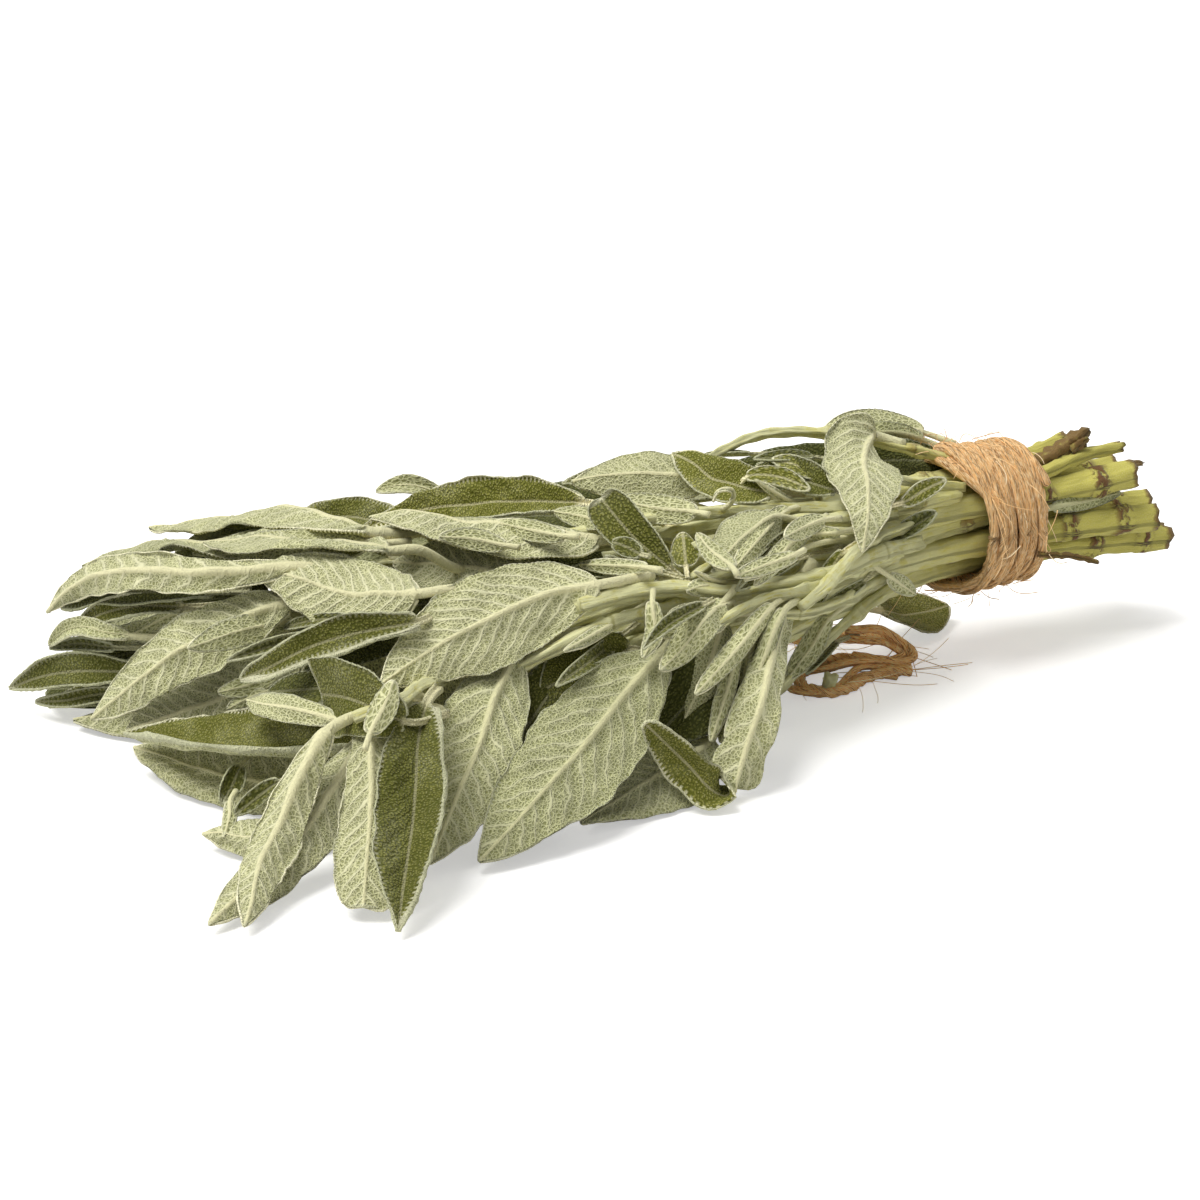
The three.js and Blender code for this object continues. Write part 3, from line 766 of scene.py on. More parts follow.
def roll_margin(y, half_width, strips):
    """(place across, height) of points y across a blade once the strips of its two margins, in mm, are rolled
    towards its upper side, or its underside where a strip is negative."""
    strip = picked(y, strips)
    broad = np.minimum(np.abs(strip), ROLL_MOST * half_width)
    over = np.clip(np.abs(y) - (half_width - broad), 0, None)
    radius = np.maximum(broad, 1e-3) / ROLL_TURN
    rolled = np.where(over > 0, half_width - broad + radius * np.sin(over / radius), np.abs(y))
    lift = radius * (1 - np.cos(over / radius)) * np.sign(strip)
    return rolled * np.sign(y), lift


def crowded(places, crowding):
    """Places from 0 to 1, drawn closer together at both ends."""
    return places - crowding * np.sin(TAU * places) / TAU


def bell(value, width, power=2):
    """1 at 0, falling to nothing a little beyond width."""
    return np.exp(-((value / width) ** power))


def facing(surface):
    """Which way each point of a grid of points faces."""
    return unit(np.cross(np.gradient(surface, axis=0), -np.gradient(surface, axis=1)))


# The skin of a leaf, in mm and in shares.
ROW_CROWDING = 0.7  # how much closer together the rows are at the base and the tip of the blade
COLUMN_CROWDING = 0.4  # the same of the columns at the midrib and the edges
SMALL_BLADE, LARGE_BLADE = 10, 34  # lengths of a blade without side veins and of one with the full ones
SMALLEST_RELIEF = 0.25  # the relief of a small leaf as a share of that of a large one
PETIOLE_STEP = 1.5  # between the rows of a petiole
PETIOLE_END = 0.25  # how far up the blade the petiole runs out
PETIOLE_FOOT = (0.3, 2.0)  # how much thicker a petiole is at its root, and over what length
VEIN_PAIRS = 13  # of a leaf too short for side veins at their full spacing
CLOSEST_VEINS = 1.5
VEIN_LEAN = (0.75, 0.3)  # how far a side vein runs forwards for its width at the base, and more at the tip
VEIN_CURVE = 0.04
VEIN_SHIFT = 0.4  # how far the side veins of the two halves are out of step
VEIN_WIDTH = 0.3
VEIN_DENT = 0.08  # how deep a side vein shows as a furrow in the upper side
FURROW = (0.35, 0.45)  # depth and width of the furrow over the midrib
RIB_TAPER = 0.66  # how much narrower the midrib is at the tip
RIB_SINK = 0.72  # how much lower it is there


def vein_relief(blade, settings, x, y, across, inside, large, drift):
    """(phase, spacing, height) of the side veins: the phase grows by 1 from one vein to the next."""
    distance = np.abs(y)
    spacing = np.clip(blade.length / VEIN_PAIRS, CLOSEST_VEINS, settings.vein_spacing / MM)
    lean = VEIN_LEAN[0] + VEIN_LEAN[1] * inside
    phase = (x - lean * distance - VEIN_CURVE * distance**2) / spacing
    phase = phase + np.where(y > 0, 0.0, VEIN_SHIFT) + drift[2] + 0.13 * np.sin(x * 0.45 + drift[3])
    between = np.abs(phase - np.floor(phase) - 0.5)
    vein = bell(between * spacing * VEIN_CLOSENESS, VEIN_WIDTH) * (1 - 0.8 * np.abs(across) ** 1.5)
    return phase, spacing, vein * ramp(distance, 0.3, 1.2) * large


def blade_lift(settings, x, y, across, wide, phase, large, size, drift):
    """How far the blade rises over its plain sheet: it puffs up between its side veins, and is wavy."""
    body = ramp(np.abs(y), 0.0, 2.2) * (1 - np.abs(across) ** 5) * np.clip(1.4 * wide, 0, 1)
    puff = settings.puff / MM * (0.5 + 0.5 * np.cos(TAU * phase)) * body * large
    waves = 0.22 * np.sin(x / 2.6 + drift[4] + np.where(y > 0, 0, drift[5])) * across**2
    waves = waves + 0.34 * np.sin(x / 5.2 + drift[6]) * across
    lumps = 0.16 * np.sin(x * 0.7 + y * 0.8 + drift[7]) + 0.12 * np.sin(x * 0.45 - y * 1.1 + drift[8])
    return puff + (waves + lumps) * size * (wide**0.5) * np.clip(wide * 2, 0, 1)


def leaf_section(blade, settings, across, distance, inside, share, narrow, vein, large, size):
    """(top, low): how far the two sides of a leaf stand off its sheet."""
    thickness = settings.blade_thickness / MM / 2 * (0.7 + 0.3 * large)
    rounded = np.sqrt(np.clip(1 - np.abs(across) ** 6, 0, 1))
    rib = blade.petiole_radius * (1 - RIB_TAPER * inside)
    rib_height = settings.rib_height / MM * blade.petiole_radius / 1.2 * (1 - RIB_SINK * inside)
    ridge = rib_height * bell(distance, 0.75 * rib)
    furrow = FURROW[0] * size * (1 - 0.6 * inside) * bell(distance, FURROW[1])
    blade_top = thickness * rounded - furrow - VEIN_DENT * vein
    blade_low = thickness * rounded + ridge + settings.vein_height / MM * vein
    circle = np.sqrt(np.clip(1 - across**2, 0, 1)) * narrow
    petiole_top = 0.85 * circle - 0.5 * narrow * bell(distance, 0.42 * narrow)
    stalk = 1 - ramp(share, -0.01, 0.12)
    top = stalk * petiole_top + (1 - stalk) * blade_top
    low = stalk * circle + (1 - stalk) * blade_low
    return top, low


def leaf_patch(blade, settings, random, rows, half, tone, number, strips, ends):
    """The skin of one leaf. half is the number of columns from the midrib to an edge, strips the widths of
    the two margins that roll over, ends the powers that shape the base and the tip."""
    drift = random.uniform(0, TAU, 12)
    petiole_rows = max(5, int(-blade.knots[0] * blade.length / PETIOLE_STEP))
    petiole_share = np.linspace(blade.knots[0], 0, petiole_rows, endpoint=False)
    blade_share = crowded(np.linspace(0, 1, rows + 1)[:-1], ROW_CROWDING)
    at = np.concatenate((petiole_share, blade_share))
    line = spline(blade.knots, blade.middles, at)
    side = unit(spline(blade.knots, blade.sides, at))
    spread = spline(blade.edges, blade.spread, np.clip(at, blade.edges[0], blade.edges[-1]))
    columns = np.linspace(1, -1, 2 * half + 1)
    across = (np.sign(columns) * crowded(np.abs(columns), COLUMN_CROWDING))[None]
    share = at[:, None]
    inside = np.clip(share, 0, 1)
    along = share * blade.length
    large = ramp(blade.length, SMALL_BLADE, LARGE_BLADE)
    size = SMALLEST_RELIEF + (1 - SMALLEST_RELIEF) * large

    wide = outline(share, *ends)
    reach = np.linalg.norm(spread[:, 4] - spread[:, 0], axis=1)[:, None] / 2
    blade_half = wide * reach
    thicker, foot = PETIOLE_FOOT
    narrow = blade.petiole_radius * (1 + thicker * np.exp(-(share - share[0]) * blade.length / foot))
    petiole_half = narrow * np.where(share < 0, 1, np.clip(1 - share / PETIOLE_END, 0, 1) ** 2)
    half_width = blade_half + petiole_half
    y = across * half_width
    x = np.broadcast_to(along, y.shape)

    uneven = 0.035 * np.sin(along * 0.33 + drift[0] + picked(across, (drift[1], 0)))
    uneven = uneven + 0.025 * np.sin(along * 1.1 + drift[9] + picked(across, (drift[10], 0)))
    tooth = settings.tooth_depth / MM * np.sin(along * TAU / (settings.tooth_spacing / MM))
    stretch = 1 + (uneven + tooth / np.maximum(reach, 1)) * np.abs(across) ** 6
    rolled, roll_lift = roll_margin(across * blade_half, blade_half, strips)
    place = rolled / np.maximum(blade_half, 1e-6)
    flat = np.einsum("svk,skx->svx", across_weights(place), spread) * (wide * stretch)[..., None]
    sheet = line[:, None] + flat + side[:, None] * (across * petiole_half)[..., None]
    sheet = sheet + facing(sheet)[:, half : half + 1] * roll_lift[..., None]
    normal = facing(sheet)

    phase, spacing, vein = vein_relief(blade, settings, x, y, across, inside, large, drift)
    lift = blade_lift(settings, x, y, across, wide, phase, large, size, drift)
    distance = np.abs(y)
    top, low = leaf_section(blade, settings, across, distance, inside, share, narrow, vein, large, size)
    upper = sheet + normal * (lift + top)[..., None]
    lower = sheet + normal * (lift - low)[..., None]
    edge = sheet + normal * lift[..., None]
    upper[:, 0], upper[:, -1] = edge[:, 0], edge[:, -1]

    margin = np.minimum((1 - np.abs(across)) * half_width, (1 - inside) * blade.length)
    pale_strip = np.clip(picked(across, strips) - PLAIN_STRIP, 0, None)
    margin = np.clip(margin - PALE_SHARE * pale_strip, 0, None)
    rib = blade.petiole_radius * (1 - RIB_TAPER * inside)
    near_stalk = (1 - ramp(share, -0.02, 0.06)) * bell(distance, 1.4 * rib, 4)

    def both(*values):
        """Values of the upper side, repeated for the underside."""
        values = layered(y.shape, *values)
        return np.concatenate((values, values[:, -2:0:-1]), axis=1)

    return Patch(
        line[0],
        np.concatenate((upper, lower[:, -2:0:-1]), axis=1),
        spline(blade.knots, blade.middles, np.array([1.0]))[0],
        leaf_at=both(x, y, margin),
        leaf_vein=both(phase, inside, spacing),
        leaf_tone=both(tone, number, near_stalk),
    )


def leaf_slots(patch, half):
    """0 for a face of the upper side, 1 for one of the underside."""
    columns = np.arange(patch.columns)
    below = (columns >= 2 * half).astype(int)
    return np.concatenate((np.tile(below, patch.rows - 1), below, below))


# Leaves of the frame that are seen closest, which get the finest skin.
FINEST = (
    "middle_broad", "middle_pale", "near_broad", "near_second", "front_dark", "front_pale", "front_blunt",
    "front_long", "front_square", "left_pale", "left_arched", "tie_hanging", "side_curled", "top_golden",
    "side_pale", "top_upright", "left_tip",
)
# Leaves of the frame that turn their upper side outwards.
DARK = (
    "floor_tie", "floor_middle", "left_low", "near_dark", "left_tip", "left_second", "front_long",
    "front_dark", "front_square", "back_dark", "top_golden", "top_upright", "ridge_far", "ridge_grey",
    "ridge_small",
)
# Leaves that are redrawn along points of their own: the width in mm, the tilt, the cup and the points.
REDRAWN = {
    "side_curled": (9.4, (70, 70, 71, 72, 73, 74, 75, 77, 84, 180, 262, 266, 268, 270), 0.25,
        ((44, -8, 32), (36, -13, 29), (27, -22, 25), (20, -30, 20.5), (15, -35, 16), (10.5, -37.5, 10),
         (7, -39.2, 4.6), (4.6, -39.8, 1.9), (2.4, -39.6, 2.9), (-1, -37, 7.5), (-5, -34.6, 12.5),
         (-10, -34, 18))),
    "middle_broad": (19.0, (50, 60, 62), 0.12,
        ((5, -11, 37.6), (-8.5, -14, 39), (-18.5, -12, 38.2), (-30.5, -12.5, 36), (-43.5, -12.5, 32),
         (-54.4, -12.4, 27))),
    "near_broad": (20.5, (62, 62, 58), 0.12,
        ((12, -13, 27), (2, -20, 24.6), (-5.5, -24.5, 23), (-11.5, -27.5, 20.6), (-21.5, -33.3, 16.6),
         (-33.4, -39, 12), (-43, -42.4, 7), (-51.4, -44.8, 2.6))),
    "tie_hanging": (16.5, (80, 80, 78, 70), 0.12,
        ((80, 13, 45.4), (73.5, 15, 48), (69.4, 10.6, 48.5), (61.4, 0, 48), (56.4, -9, 46), (52.4, -15, 42),
         (50.4, -16.5, 36))),
    "tie_folded": (8.0, (58, 62, 70), 0.5,
        ((96, 17, 42), (91, 22, 44), (84, 24.5, 45.8), (78, 28, 46), (72, 31, 44.5))),
    "front_square": (15.5, (76, 80, 84), 0.15,
        ((-48, -27, 25), (-59, -31, 27), (-61.5, -29, 28), (-63.5, -25, 29), (-65.5, -19, 29),
         (-66.5, -12, 27.5))),
    "front_dark": (14.5, (72, 74, 78), 0.35,
        ((-45, -17, 26), (-52, -26, 27), (-58, -34, 22.5), (-61, -39, 18), (-65.5, -46, 13), (-72, -55, 6.5),
         (-77, -62.5, 2))),
    "top_upright": (10.2, (66, 70, 70), 0.3,
        ((14, -11, 34), (10.5, -9, 37.5), (6.6, -3.2, 42), (4.6, 2.2, 46), (3.6, 6, 48.8))),
    "left_arched": (8.4, (40, 50, 60, 65), 0.25,
        ((-40, 18, 37), (-55, 24, 39), (-64, 28, 38.5), (-71, 33, 38), (-77, 43, 36.5), (-82, 57, 32),
         (-84, 68, 25.5), (-85, 76, 19))),
    "left_second": (6.5, (45, 55, 60), 0.3,
        ((-58, 38, 28), (-70, 42, 28), (-75, 49, 27), (-79, 56, 24.5), (-82, 62, 21), (-84, 66, 17))),
    "left_tip": (8.5, (55, 60, 65), 0.2,
        ((-66, 40, 13), (-76, 49, 13), (-82, 55, 12.5), (-87, 62, 11), (-91, 68, 8.5), (-95, 74, 5))),
}
# Leaves that are slimmer than their solid, as a share of its width.
SLIM = {"front_pale": 0.8, "left_pale": 0.76, "near_second": 0.92}
# How wide a strip of its two margins a leaf rolls over, in mm.
ROLLS = {
    "front_dark": (0.7, 2.6),
    "front_long": (0.9, 2.4),
    "top_golden": (0.6, 2.0),
    "left_second": (1.4, 1.4),
    "top_upright": (1.0, 1.0),
    "side_curled": (0.7, 0.7),
    "left_tip": (1.2, 1.4),
    "ridge_grey": (0.5, 0.9),
    "ridge_small": (0.9, 0.9),
}
# How light the leaves are that stand out from the others, from 0 to 1.
TONES = {
    "top_golden": 1.0,
    "front_long": 0.72,
    "front_dark": 0.42,
    "front_square": 0.5,
    "top_upright": 0.5,
    "ridge_grey": 1.0,
    "tie_hanging": 0.9,
    "side_pale": 1.0,
    "middle_pale": 1.0,
    "middle_broad": 1.0,
    "left_arched": 1.0,
    "near_broad": 0.45,
    "floor_tie": 0.9,
    "near_second": 0.65,
}
# The powers that shape the base and the tip of leaves that aren't pointed as the others are.
SHAPES = {
    "front_blunt": (0.5, 0.22),
    "front_square": (0.35, 0.06),
    "tie_hanging": (0.42, 0.8),
    "tie_folded": (0.45, 0.5),
    "side_curled": (0.55, 0.34),
    "top_upright": (0.5, 0.24),
}
PLAIN_SHAPE = (0.66, 0.8)
SMALL_SHAPE = (0.5, 0.6)
# The margins and the range of tones of all other leaves, by the side they show.
PLAIN_ROLLS = {"upper": (0.5, 0.5), "under": (-0.35, -0.35)}
SMALL_PLAIN_ROLLS = {"upper": (0.4, 0.4), "under": (-0.3, -0.3)}
PLAIN_TONES = {"upper": (0.35, 0.6), "under": (0.55, 1.0)}
# Rows of a leaf's skin along its blade, and columns from its midrib to an edge.
FINEST_SKIN = (120, 18)
PLAIN_SKIN = (58, 10)
SMALL_SKIN = (28, 6)


def nodes_named(start):
    """The nodes of the frame whose names begin with start, in order."""
    return sorted(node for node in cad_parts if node.startswith(start))


STEM_POINTS = 160  # points in the middle line of a stem


def stem_lines():
    """The middle line of every stem of the frame, as close points, by its node."""
    lines = {}
    for node in nodes_named("stem_"):
        start, rings, end = rings_of(node)
        line = np.vstack((start, rings.mean(1), end))
        places = arc(line)
        keep = np.concatenate(([True], np.diff(places) > 1e-3))
        lines[node] = spline(places[keep], line[keep], np.linspace(0, places[-1], STEM_POINTS))
    return lines


class SAGE_OT_leaves(Operator):
    """Add the large leaves that fan out from the stems"""

    bl_idname = "sage.leaves"
    bl_label = "Add Leaves"

    def execute(self, context):
        settings = context.scene.sage_bunch.leaves
        materials = leaf_finishes(settings)
        lines = stem_lines().values()
        nodes = nodes_named("leaf_")
        if not nodes:
            raise RuntimeError("the frame has no leaves")
        for number, node in enumerate(nodes):
            random = np.random.default_rng(100 + number)
            short = node.removeprefix("leaf_")
            rows, half = FINEST_SKIN if short in FINEST else PLAIN_SKIN
            shows = "upper" if short in DARK else "under"
            strips = ROLLS.get(short, PLAIN_ROLLS[shows])
            tone = TONES.get(short, random.uniform(*PLAIN_TONES[shows]))
            ends = SHAPES.get(short, PLAIN_SHAPE)
            if short in REDRAWN:
                blade = drawn_blade(shows, *REDRAWN[short])
            else:
                blade = frame_blade(node, lines)
                blade.spread = blade.spread * SLIM.get(short, 1.0)
            finish = (tone, number / LARGE_PER_NUMBER)
            patch = leaf_patch(blade, settings, random, rows, half, *finish, strips, ends)
            slots = leaf_slots(patch, half)
            piece = make_piece(f"sage_{node}", [patch], materials, slots)
            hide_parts(node)
        return {"FINISHED"}


# The small leaves among the stems, bundle by bundle: the side shown, the width in mm, the tilt at the base
# and at the tip in degrees, the cup, the tone, and points from the root over the base of the blade to the
# tip.
# Low tones on the leaves that lie under or behind others, such as the dark upper side in the left bundle, are
# painted shade.
SMALL_LEAVES = {
    "ridge": (
        ("under", 3.0, (40, 10), 0.5, 0.9, ((36, 15, 45), (32, 19, 46), (29, 24, 47), (27, 28, 48))),
        ("upper", 3.4, (-10, -10), 0.3, 0.3, ((52, 17, 47), (47, 20, 47), (42, 22, 47), (38, 24, 47))),
        ("under", 1.9, (60, 60), 0.2, 1.0, ((35, 16, 38), (31, 15, 40), (25, 15, 42), (19, 16, 43))),
        ("under", 1.4, (90, -60), 0.3, 1.0,
         ((31, 5, 42), (32, 3, 44), (31, 2, 47), (28, 2, 47), (27, 2, 45))),
        ("under", 2.0, (70, 70), 0.3, 1.0, ((51, 3, 41), (46, 2, 42), (41, 2, 45), (37, 2, 48))),
        ("upper", 4.9, (35, 55), 0.15, 0.95, ((37, 10, 43), (38, 7, 47), (44, 3, 47), (48, -1, 45))),
        ("upper", 5.0, (30, 40), 0.2, 0.95, ((56, -1, 45), (52, 3, 46), (49, 6, 48), (45, 9, 49))),
        ("upper", 4.0, (20, 20), 0.3, 0.2, ((62, 8, 46), (55, 9, 48), (48, 9, 49), (42, 11, 49))),
        ("upper", 2.2, (30, 20), 0.2, 0.5, ((50, 11, 44), (44, 12, 46), (39, 13, 47), (35, 14, 47))),
    ),
    "crown": (
        ("under", 5.4, (75, 65), 0.25, 0.95, ((48, 1, 41), (42, -2, 42), (31, -10, 41), (20, -17, 38))),
        ("upper", 2.6, (75, 65), 0.2, 0.6, ((46, 4, 40), (40, 1, 41), (28, -6, 40), (17, -14, 37))),
        ("under", 4.6, (75, 65), 0.25, 0.85, ((50, -4, 40), (44, -8, 40), (33, -15, 39), (23, -20, 35))),
        ("upper", 2.6, (75, 65), 0.2, 0.4, ((49, -1, 39), (42, -5, 39), (31, -12, 38), (20, -18, 34))),
        ("under", 2.8, (60, 60), 0.3, 1.0, ((54, -7, 36), (40, -11, 37), (30, -16, 37), (20, -21, 37))),
        ("upper", 3.0, (50, 60), 0.3, 0.4, ((56, -2, 32), (40, -9, 34), (30, -14, 34), (20, -18, 34))),
        ("upper", 6.2, (55, 70), -0.25, 0.85, ((14, -10, 34), (16, -6, 36), (18, -2, 38), (20, 2, 40))),
        ("upper", 1.8, (60, 60), 0.4, 0.4, ((12, -12, 36), (9, -10, 37), (4, -6, 38), (1, 0, 39))),
        ("upper", 2.7, (55, 55), 0.4, 0.4, ((14, -11, 35), (8, -9, 36), (0, -4, 35), (-6, 2, 34))),
        ("under", 1.6, (60, 60), 0.3, 1.0, ((10, -14, 35), (6, -12, 36), (0, -8, 36), (-4, -4, 35))),
    ),
    "middle": (
        ("under", 3.6, (75, 75), 0.2, 0.8, ((55, -8, 38), (50, -9, 38), (45, -7, 38), (39, -4, 37))),
        ("upper", 4.4, (70, 60), -0.5, 0.8, ((53, -11, 36), (49, -12, 35), (44, -13, 30), (39, -15, 25))),
        ("upper", 2.8, (80, 80), 0.4, 0.25, ((58, -10, 29), (54, -12, 28), (49, -12, 26), (44, -12, 24))),
        ("upper", 4.2, (55, 55), 0.7, 0.2, ((58, -9, 34), (63, -8, 34), (69, -8, 36), (74, -8, 38))),
        ("upper", 4.4, (70, 70), 0.1, 1.0, ((60, -7, 41), (66, -7, 41), (73, -5, 42), (79, -4, 43))),
        ("under", 4.2, (70, 70), 0.1, 0.75, ((56, -12, 31), (60, -12, 28), (64, -11, 25), (68, -10, 22))),
        ("under", 4.0, (60, 60), 0.3, 1.0, ((22, -12, 33), (18, -14, 34), (14, -15, 35), (10, -16, 35))),
        ("under", 1.7, (60, 60), 0.3, 1.0, ((26, -11, 33), (21, -13, 34), (16, -14, 36), (13, -14, 38))),
        ("under", 1.8, (60, 60), 0.3, 1.0, ((26, -14, 32), (21, -16, 32), (17, -16, 32), (13, -16, 33))),
        ("upper", 3.4, (60, 40), 0.6, 0.35, ((15, -18, 33), (10, -22, 34), (0, -26, 33), (-8, -30, 31))),
        ("under", 4.3, (80, 70), 0.15, 0.8, ((2, -17, 37), (0, -20, 36), (-2, -24, 31), (-5, -25, 27))),
        ("under", 3.0, (70, 60), 0.3, 0.8, ((8, -6, 30), (0, -12, 31), (-12, -20, 32), (-24, -28, 33))),
        ("upper", 4.0, (70, 60), 0.3, 0.3, ((8, -5, 27), (-2, -12, 27), (-13, -19, 26), (-24, -25, 25))),
        ("under", 7.5, (70, 70), 0.2, 0.95,
         ((21, -16.5, 34), (17, -18.5, 32.4), (7.8, -25.2, 31.8), (3.4, -26, 28), (-2.4, -27, 24.6))),
    ),
    "side": (
        ("under", 5.0, (75, 70), 0.3, 1.0, ((32, -18, 31), (26, -22, 31), (15, -27, 26), (3, -31, 20))),
        ("under", 4.2, (80, 80), 0.4, 0.7, ((24, -21, 28), (18, -24, 26), (12, -28, 18), (6, -32, 10))),
        ("under", 4.8, (80, 80), 0.4, 0.7, ((34, -19, 30), (28, -23, 30), (18, -29, 20), (8, -34, 11))),
        ("upper", 3.2, (50, 50), 0.5, 0.3, ((69, 12, 6), (61, 8, 7), (53, 2, 7), (46, -4, 7))),
        ("under", 5.6, (75, 75), 0.1, 0.7, ((56, -6, 22), (50, -6, 19), (44, -8, 14), (38, -9, 9))),
    ),
    "left": (
        ("under", 6.5, (60, 60), 0.1, 0.9, ((-46, 30, 24), (-54, 26, 27), (-66, 22, 29), (-80, 18, 29))),
        ("upper", 3.5, (60, 60), 0.6, 0.3, ((-50, 16, 28), (-56, 15, 28), (-64, 16, 27), (-72, 18, 25))),
        ("upper", 8.5, (60, 55), 0.2, 0.5,
         ((-38, -4, 36), (-45, -10, 37), (-54, -6, 35.5), (-63, -1, 32.5), (-69, 4, 28), (-73, 10, 24))),
        ("upper", 3.0, (55, 55), 0.3, 0.3, ((-48, 0, 35), (-52, 6, 34), (-56, 15, 31), (-57, 24, 27))),
        # Painted shade: this leaf's low tone darkens it as if it lay in shadow.
        ("upper", 8.0, (50, 50), 0.1, 0.15, ((-56, -14, 28), (-60, -10, 27), (-65, 2, 23), (-66, 13, 19))),
        ("under", 5.0, (65, 65), 0.1, 0.5, ((-56, 16, 23), (-60, 17, 22), (-66, 21, 18), (-71, 25, 16))),
        ("under", 3.4, (65, 65), 0.1, 0.5, ((-60, 16, 18), (-64, 18, 17), (-67, 21, 15), (-70, 23, 13))),
        ("under", 6.0, (60, 55), 0.1, 1.0,
         ((-64, -24, 24), (-67, -18, 24.5), (-71, -10, 24.5), (-73, 0, 22.5), (-72, 9, 20))),
    ),
    "front": (
        ("upper", 5.5, (60, 60), 0.3, 0.2, ((-74, 4, 11), (-77, 2, 10), (-80, 0, 7), (-83, -2, 5))),
        ("under", 3.0, (60, 60), 0.2, 0.8, ((-80, -2, 7), (-83, -6, 7), (-85, -10, 6), (-88, -14, 4))),
        ("upper", 4.0, (60, 60), 0.2, 0.25, ((-74, -16, 14), (-77, -15, 13), (-81, -12, 9), (-84, -10, 6))),
        ("under", 5.4, (70, 70), 0.3, 1.0,
         ((-69, -34.6, 24.6), (-67, -33, 27), (-63, -31, 31), (-60, -29, 34.6))),
    ),
    "far_left": (
        ("upper", 6.5, (60, 65), 0.2, 0.1,
         ((-60, 32, 33), (-66, 36, 32.5), (-74, 48, 30), (-80, 61, 26.5), (-84, 72, 21))),
        ("under", 4.6, (45, 60), -0.5, 0.8,
         ((-70, 44, 21), (-78, 51, 20.5), (-82, 54, 21), (-83.5, 58, 21), (-86, 64, 19), (-88, 69, 14.5))),
        ("upper", 3.4, (70, 70), 0.3, 0.1, ((-72, 48, 18), (-80, 54, 17.5), (-84, 62, 16.5), (-88, 69, 14))),
        ("under", 4.4, (55, 60), -0.2, 0.7,
         ((-62, 42, 27), (-69, 46, 25.5), (-76, 53, 20), (-80, 60, 16.5), (-84, 69, 11))),
        ("upper", 4.4, (60, 60), 0.3, 0.1, ((-66, 48, 17), (-72, 52, 16.5), (-78, 59, 13.5), (-84, 70, 9.5))),
        ("upper", 4.4, (60, 60), 0.3, 0.3,
         ((-70, 46, 8.5), (-78, 52, 8), (-83, 57, 7), (-88, 62, 5), (-92, 68, 3.5))),
        ("under", 9.0, (50, 50), 0.1, 0.9,
         ((-28, 26, 39), (-37, 28, 39.5), (-48, 34, 39), (-55, 42, 37), (-61, 52, 33))),
        ("under", 6.0, (40, 40), 0.1, 0.8, ((-30, 40, 38), (-38, 44, 37), (-48, 50, 36), (-60, 60, 32))),
        ("under", 5.0, (75, 70), 0.35, 0.2,
         ((94, 15, 41), (89, 19, 43.5), (84, 19.5, 45.6), (79, 20.5, 46.4), (72, 27, 44))),
        ("under", 4.6, (60, 40), -0.5, 0.8, ((-8, 40, 40), (-13, 42, 42), (-18, 46, 43.5), (-23, 51, 41.5))),
    ),
    # Broad leaves deep in the pile, all at the lowest tone: their dark colour is painted shade that fills the
    # gaps between the leaves around them.
    "core": (
        ("under", 17.0, (25, 25), 0.1, 0.0,
         ((-8, 40, 33), (-18, 47, 33), (-34, 58, 32.5), (-48, 68, 31), (-58, 74, 27))),
        ("under", 17.0, (25, 25), 0.1, 0.0,
         ((4, 30, 32), (-6, 36, 32), (-22, 43, 31.5), (-38, 48, 31), (-51, 56, 29))),
        ("upper", 18.0, (40, 40), 0.1, 0.0,
         ((-2, 20, 27), (-12, 24, 26), (-26, 28, 24.5), (-42, 28, 21), (-54, 32, 17))),
        ("upper", 17.0, (40, 40), 0.1, 0.0,
         ((-38, 44, 24), (-48, 50, 23.5), (-60, 60, 21.5), (-72, 67, 17), (-79, 76, 11))),
        ("upper", 14.0, (30, 30), 0.1, 0.0,
         ((-60, 50, 8), (-68, 56, 7.5), (-76, 61, 6.5), (-83, 67, 5), (-87, 74, 3))),
        ("upper", 18.0, (25, 25), 0.1, 0.0,
         ((50, 30, 35), (40, 34, 34), (22, 38, 33), (6, 46, 32.5), (-6, 54, 31.5))),
        ("upper", 12.0, (35, 35), 0.1, 0.0,
         ((92, 14, 40), (84, 17, 40), (72, 24, 39.5), (56, 30, 38), (42, 36, 34))),
        ("upper", 16.0, (60, 60), 0.1, 0.0, ((24, -20, 23), (17, -21, 21), (7, -23.5, 16), (-2, -25, 10))),
        ("upper", 14.0, (50, 50), 0.1, 0.0,
         ((24, 8, 33), (16, 10, 33), (4, 12.5, 33), (-10, 15, 31), (-20, 18, 29))),
        ("upper", 11.0, (65, 65), 0.1, 0.25,
         ((-5, -12, 28.5), (-11, -14, 26.5), (-22, -18, 20), (-32, -22, 12.5))),
        ("upper", 10.0, (50, 50), 0.1, 0.0,
         ((96, 9, 40), (90, 11, 40.5), (82, 14, 41.5), (74, 18, 41.5), (66, 22, 41))),
    ),
    "crest": (
        ("under", 4.8, (65, 65), 0.1, 0.9, ((-7, -4, 45.5), (-8, 0, 44.6), (-11, 8, 44), (-14, 17, 43.5))),
        ("under", 5.2, (65, 65), 0.15, 0.8, ((6, 1, 41), (3.5, 3.5, 43.8), (3, 9.5, 43.6), (0.5, 19, 42.6))),
        ("under", 6.5, (60, 60), 0.15, 1.0, ((23, -3, 44.6), (22.5, 1, 44), (18, 8, 43.5), (12.5, 16, 44))),
        ("under", 4.0, (60, 60), 0.1, 0.9,
         ((35, -19, 40), (32, -20.5, 40), (25, -20.5, 39), (18, -20.5, 38))),
        ("under", 5.0, (65, 65), 0.1, 1.0,
         ((50, -9, 41), (45, -10.5, 42), (39, -13, 42.3), (32, -16.5, 42.3))),
        ("under", 3.6, (65, 65), 0.1, 0.9, ((2, -20, 42), (1.6, -15, 41), (-0.5, -6, 39), (-3, 3, 37))),
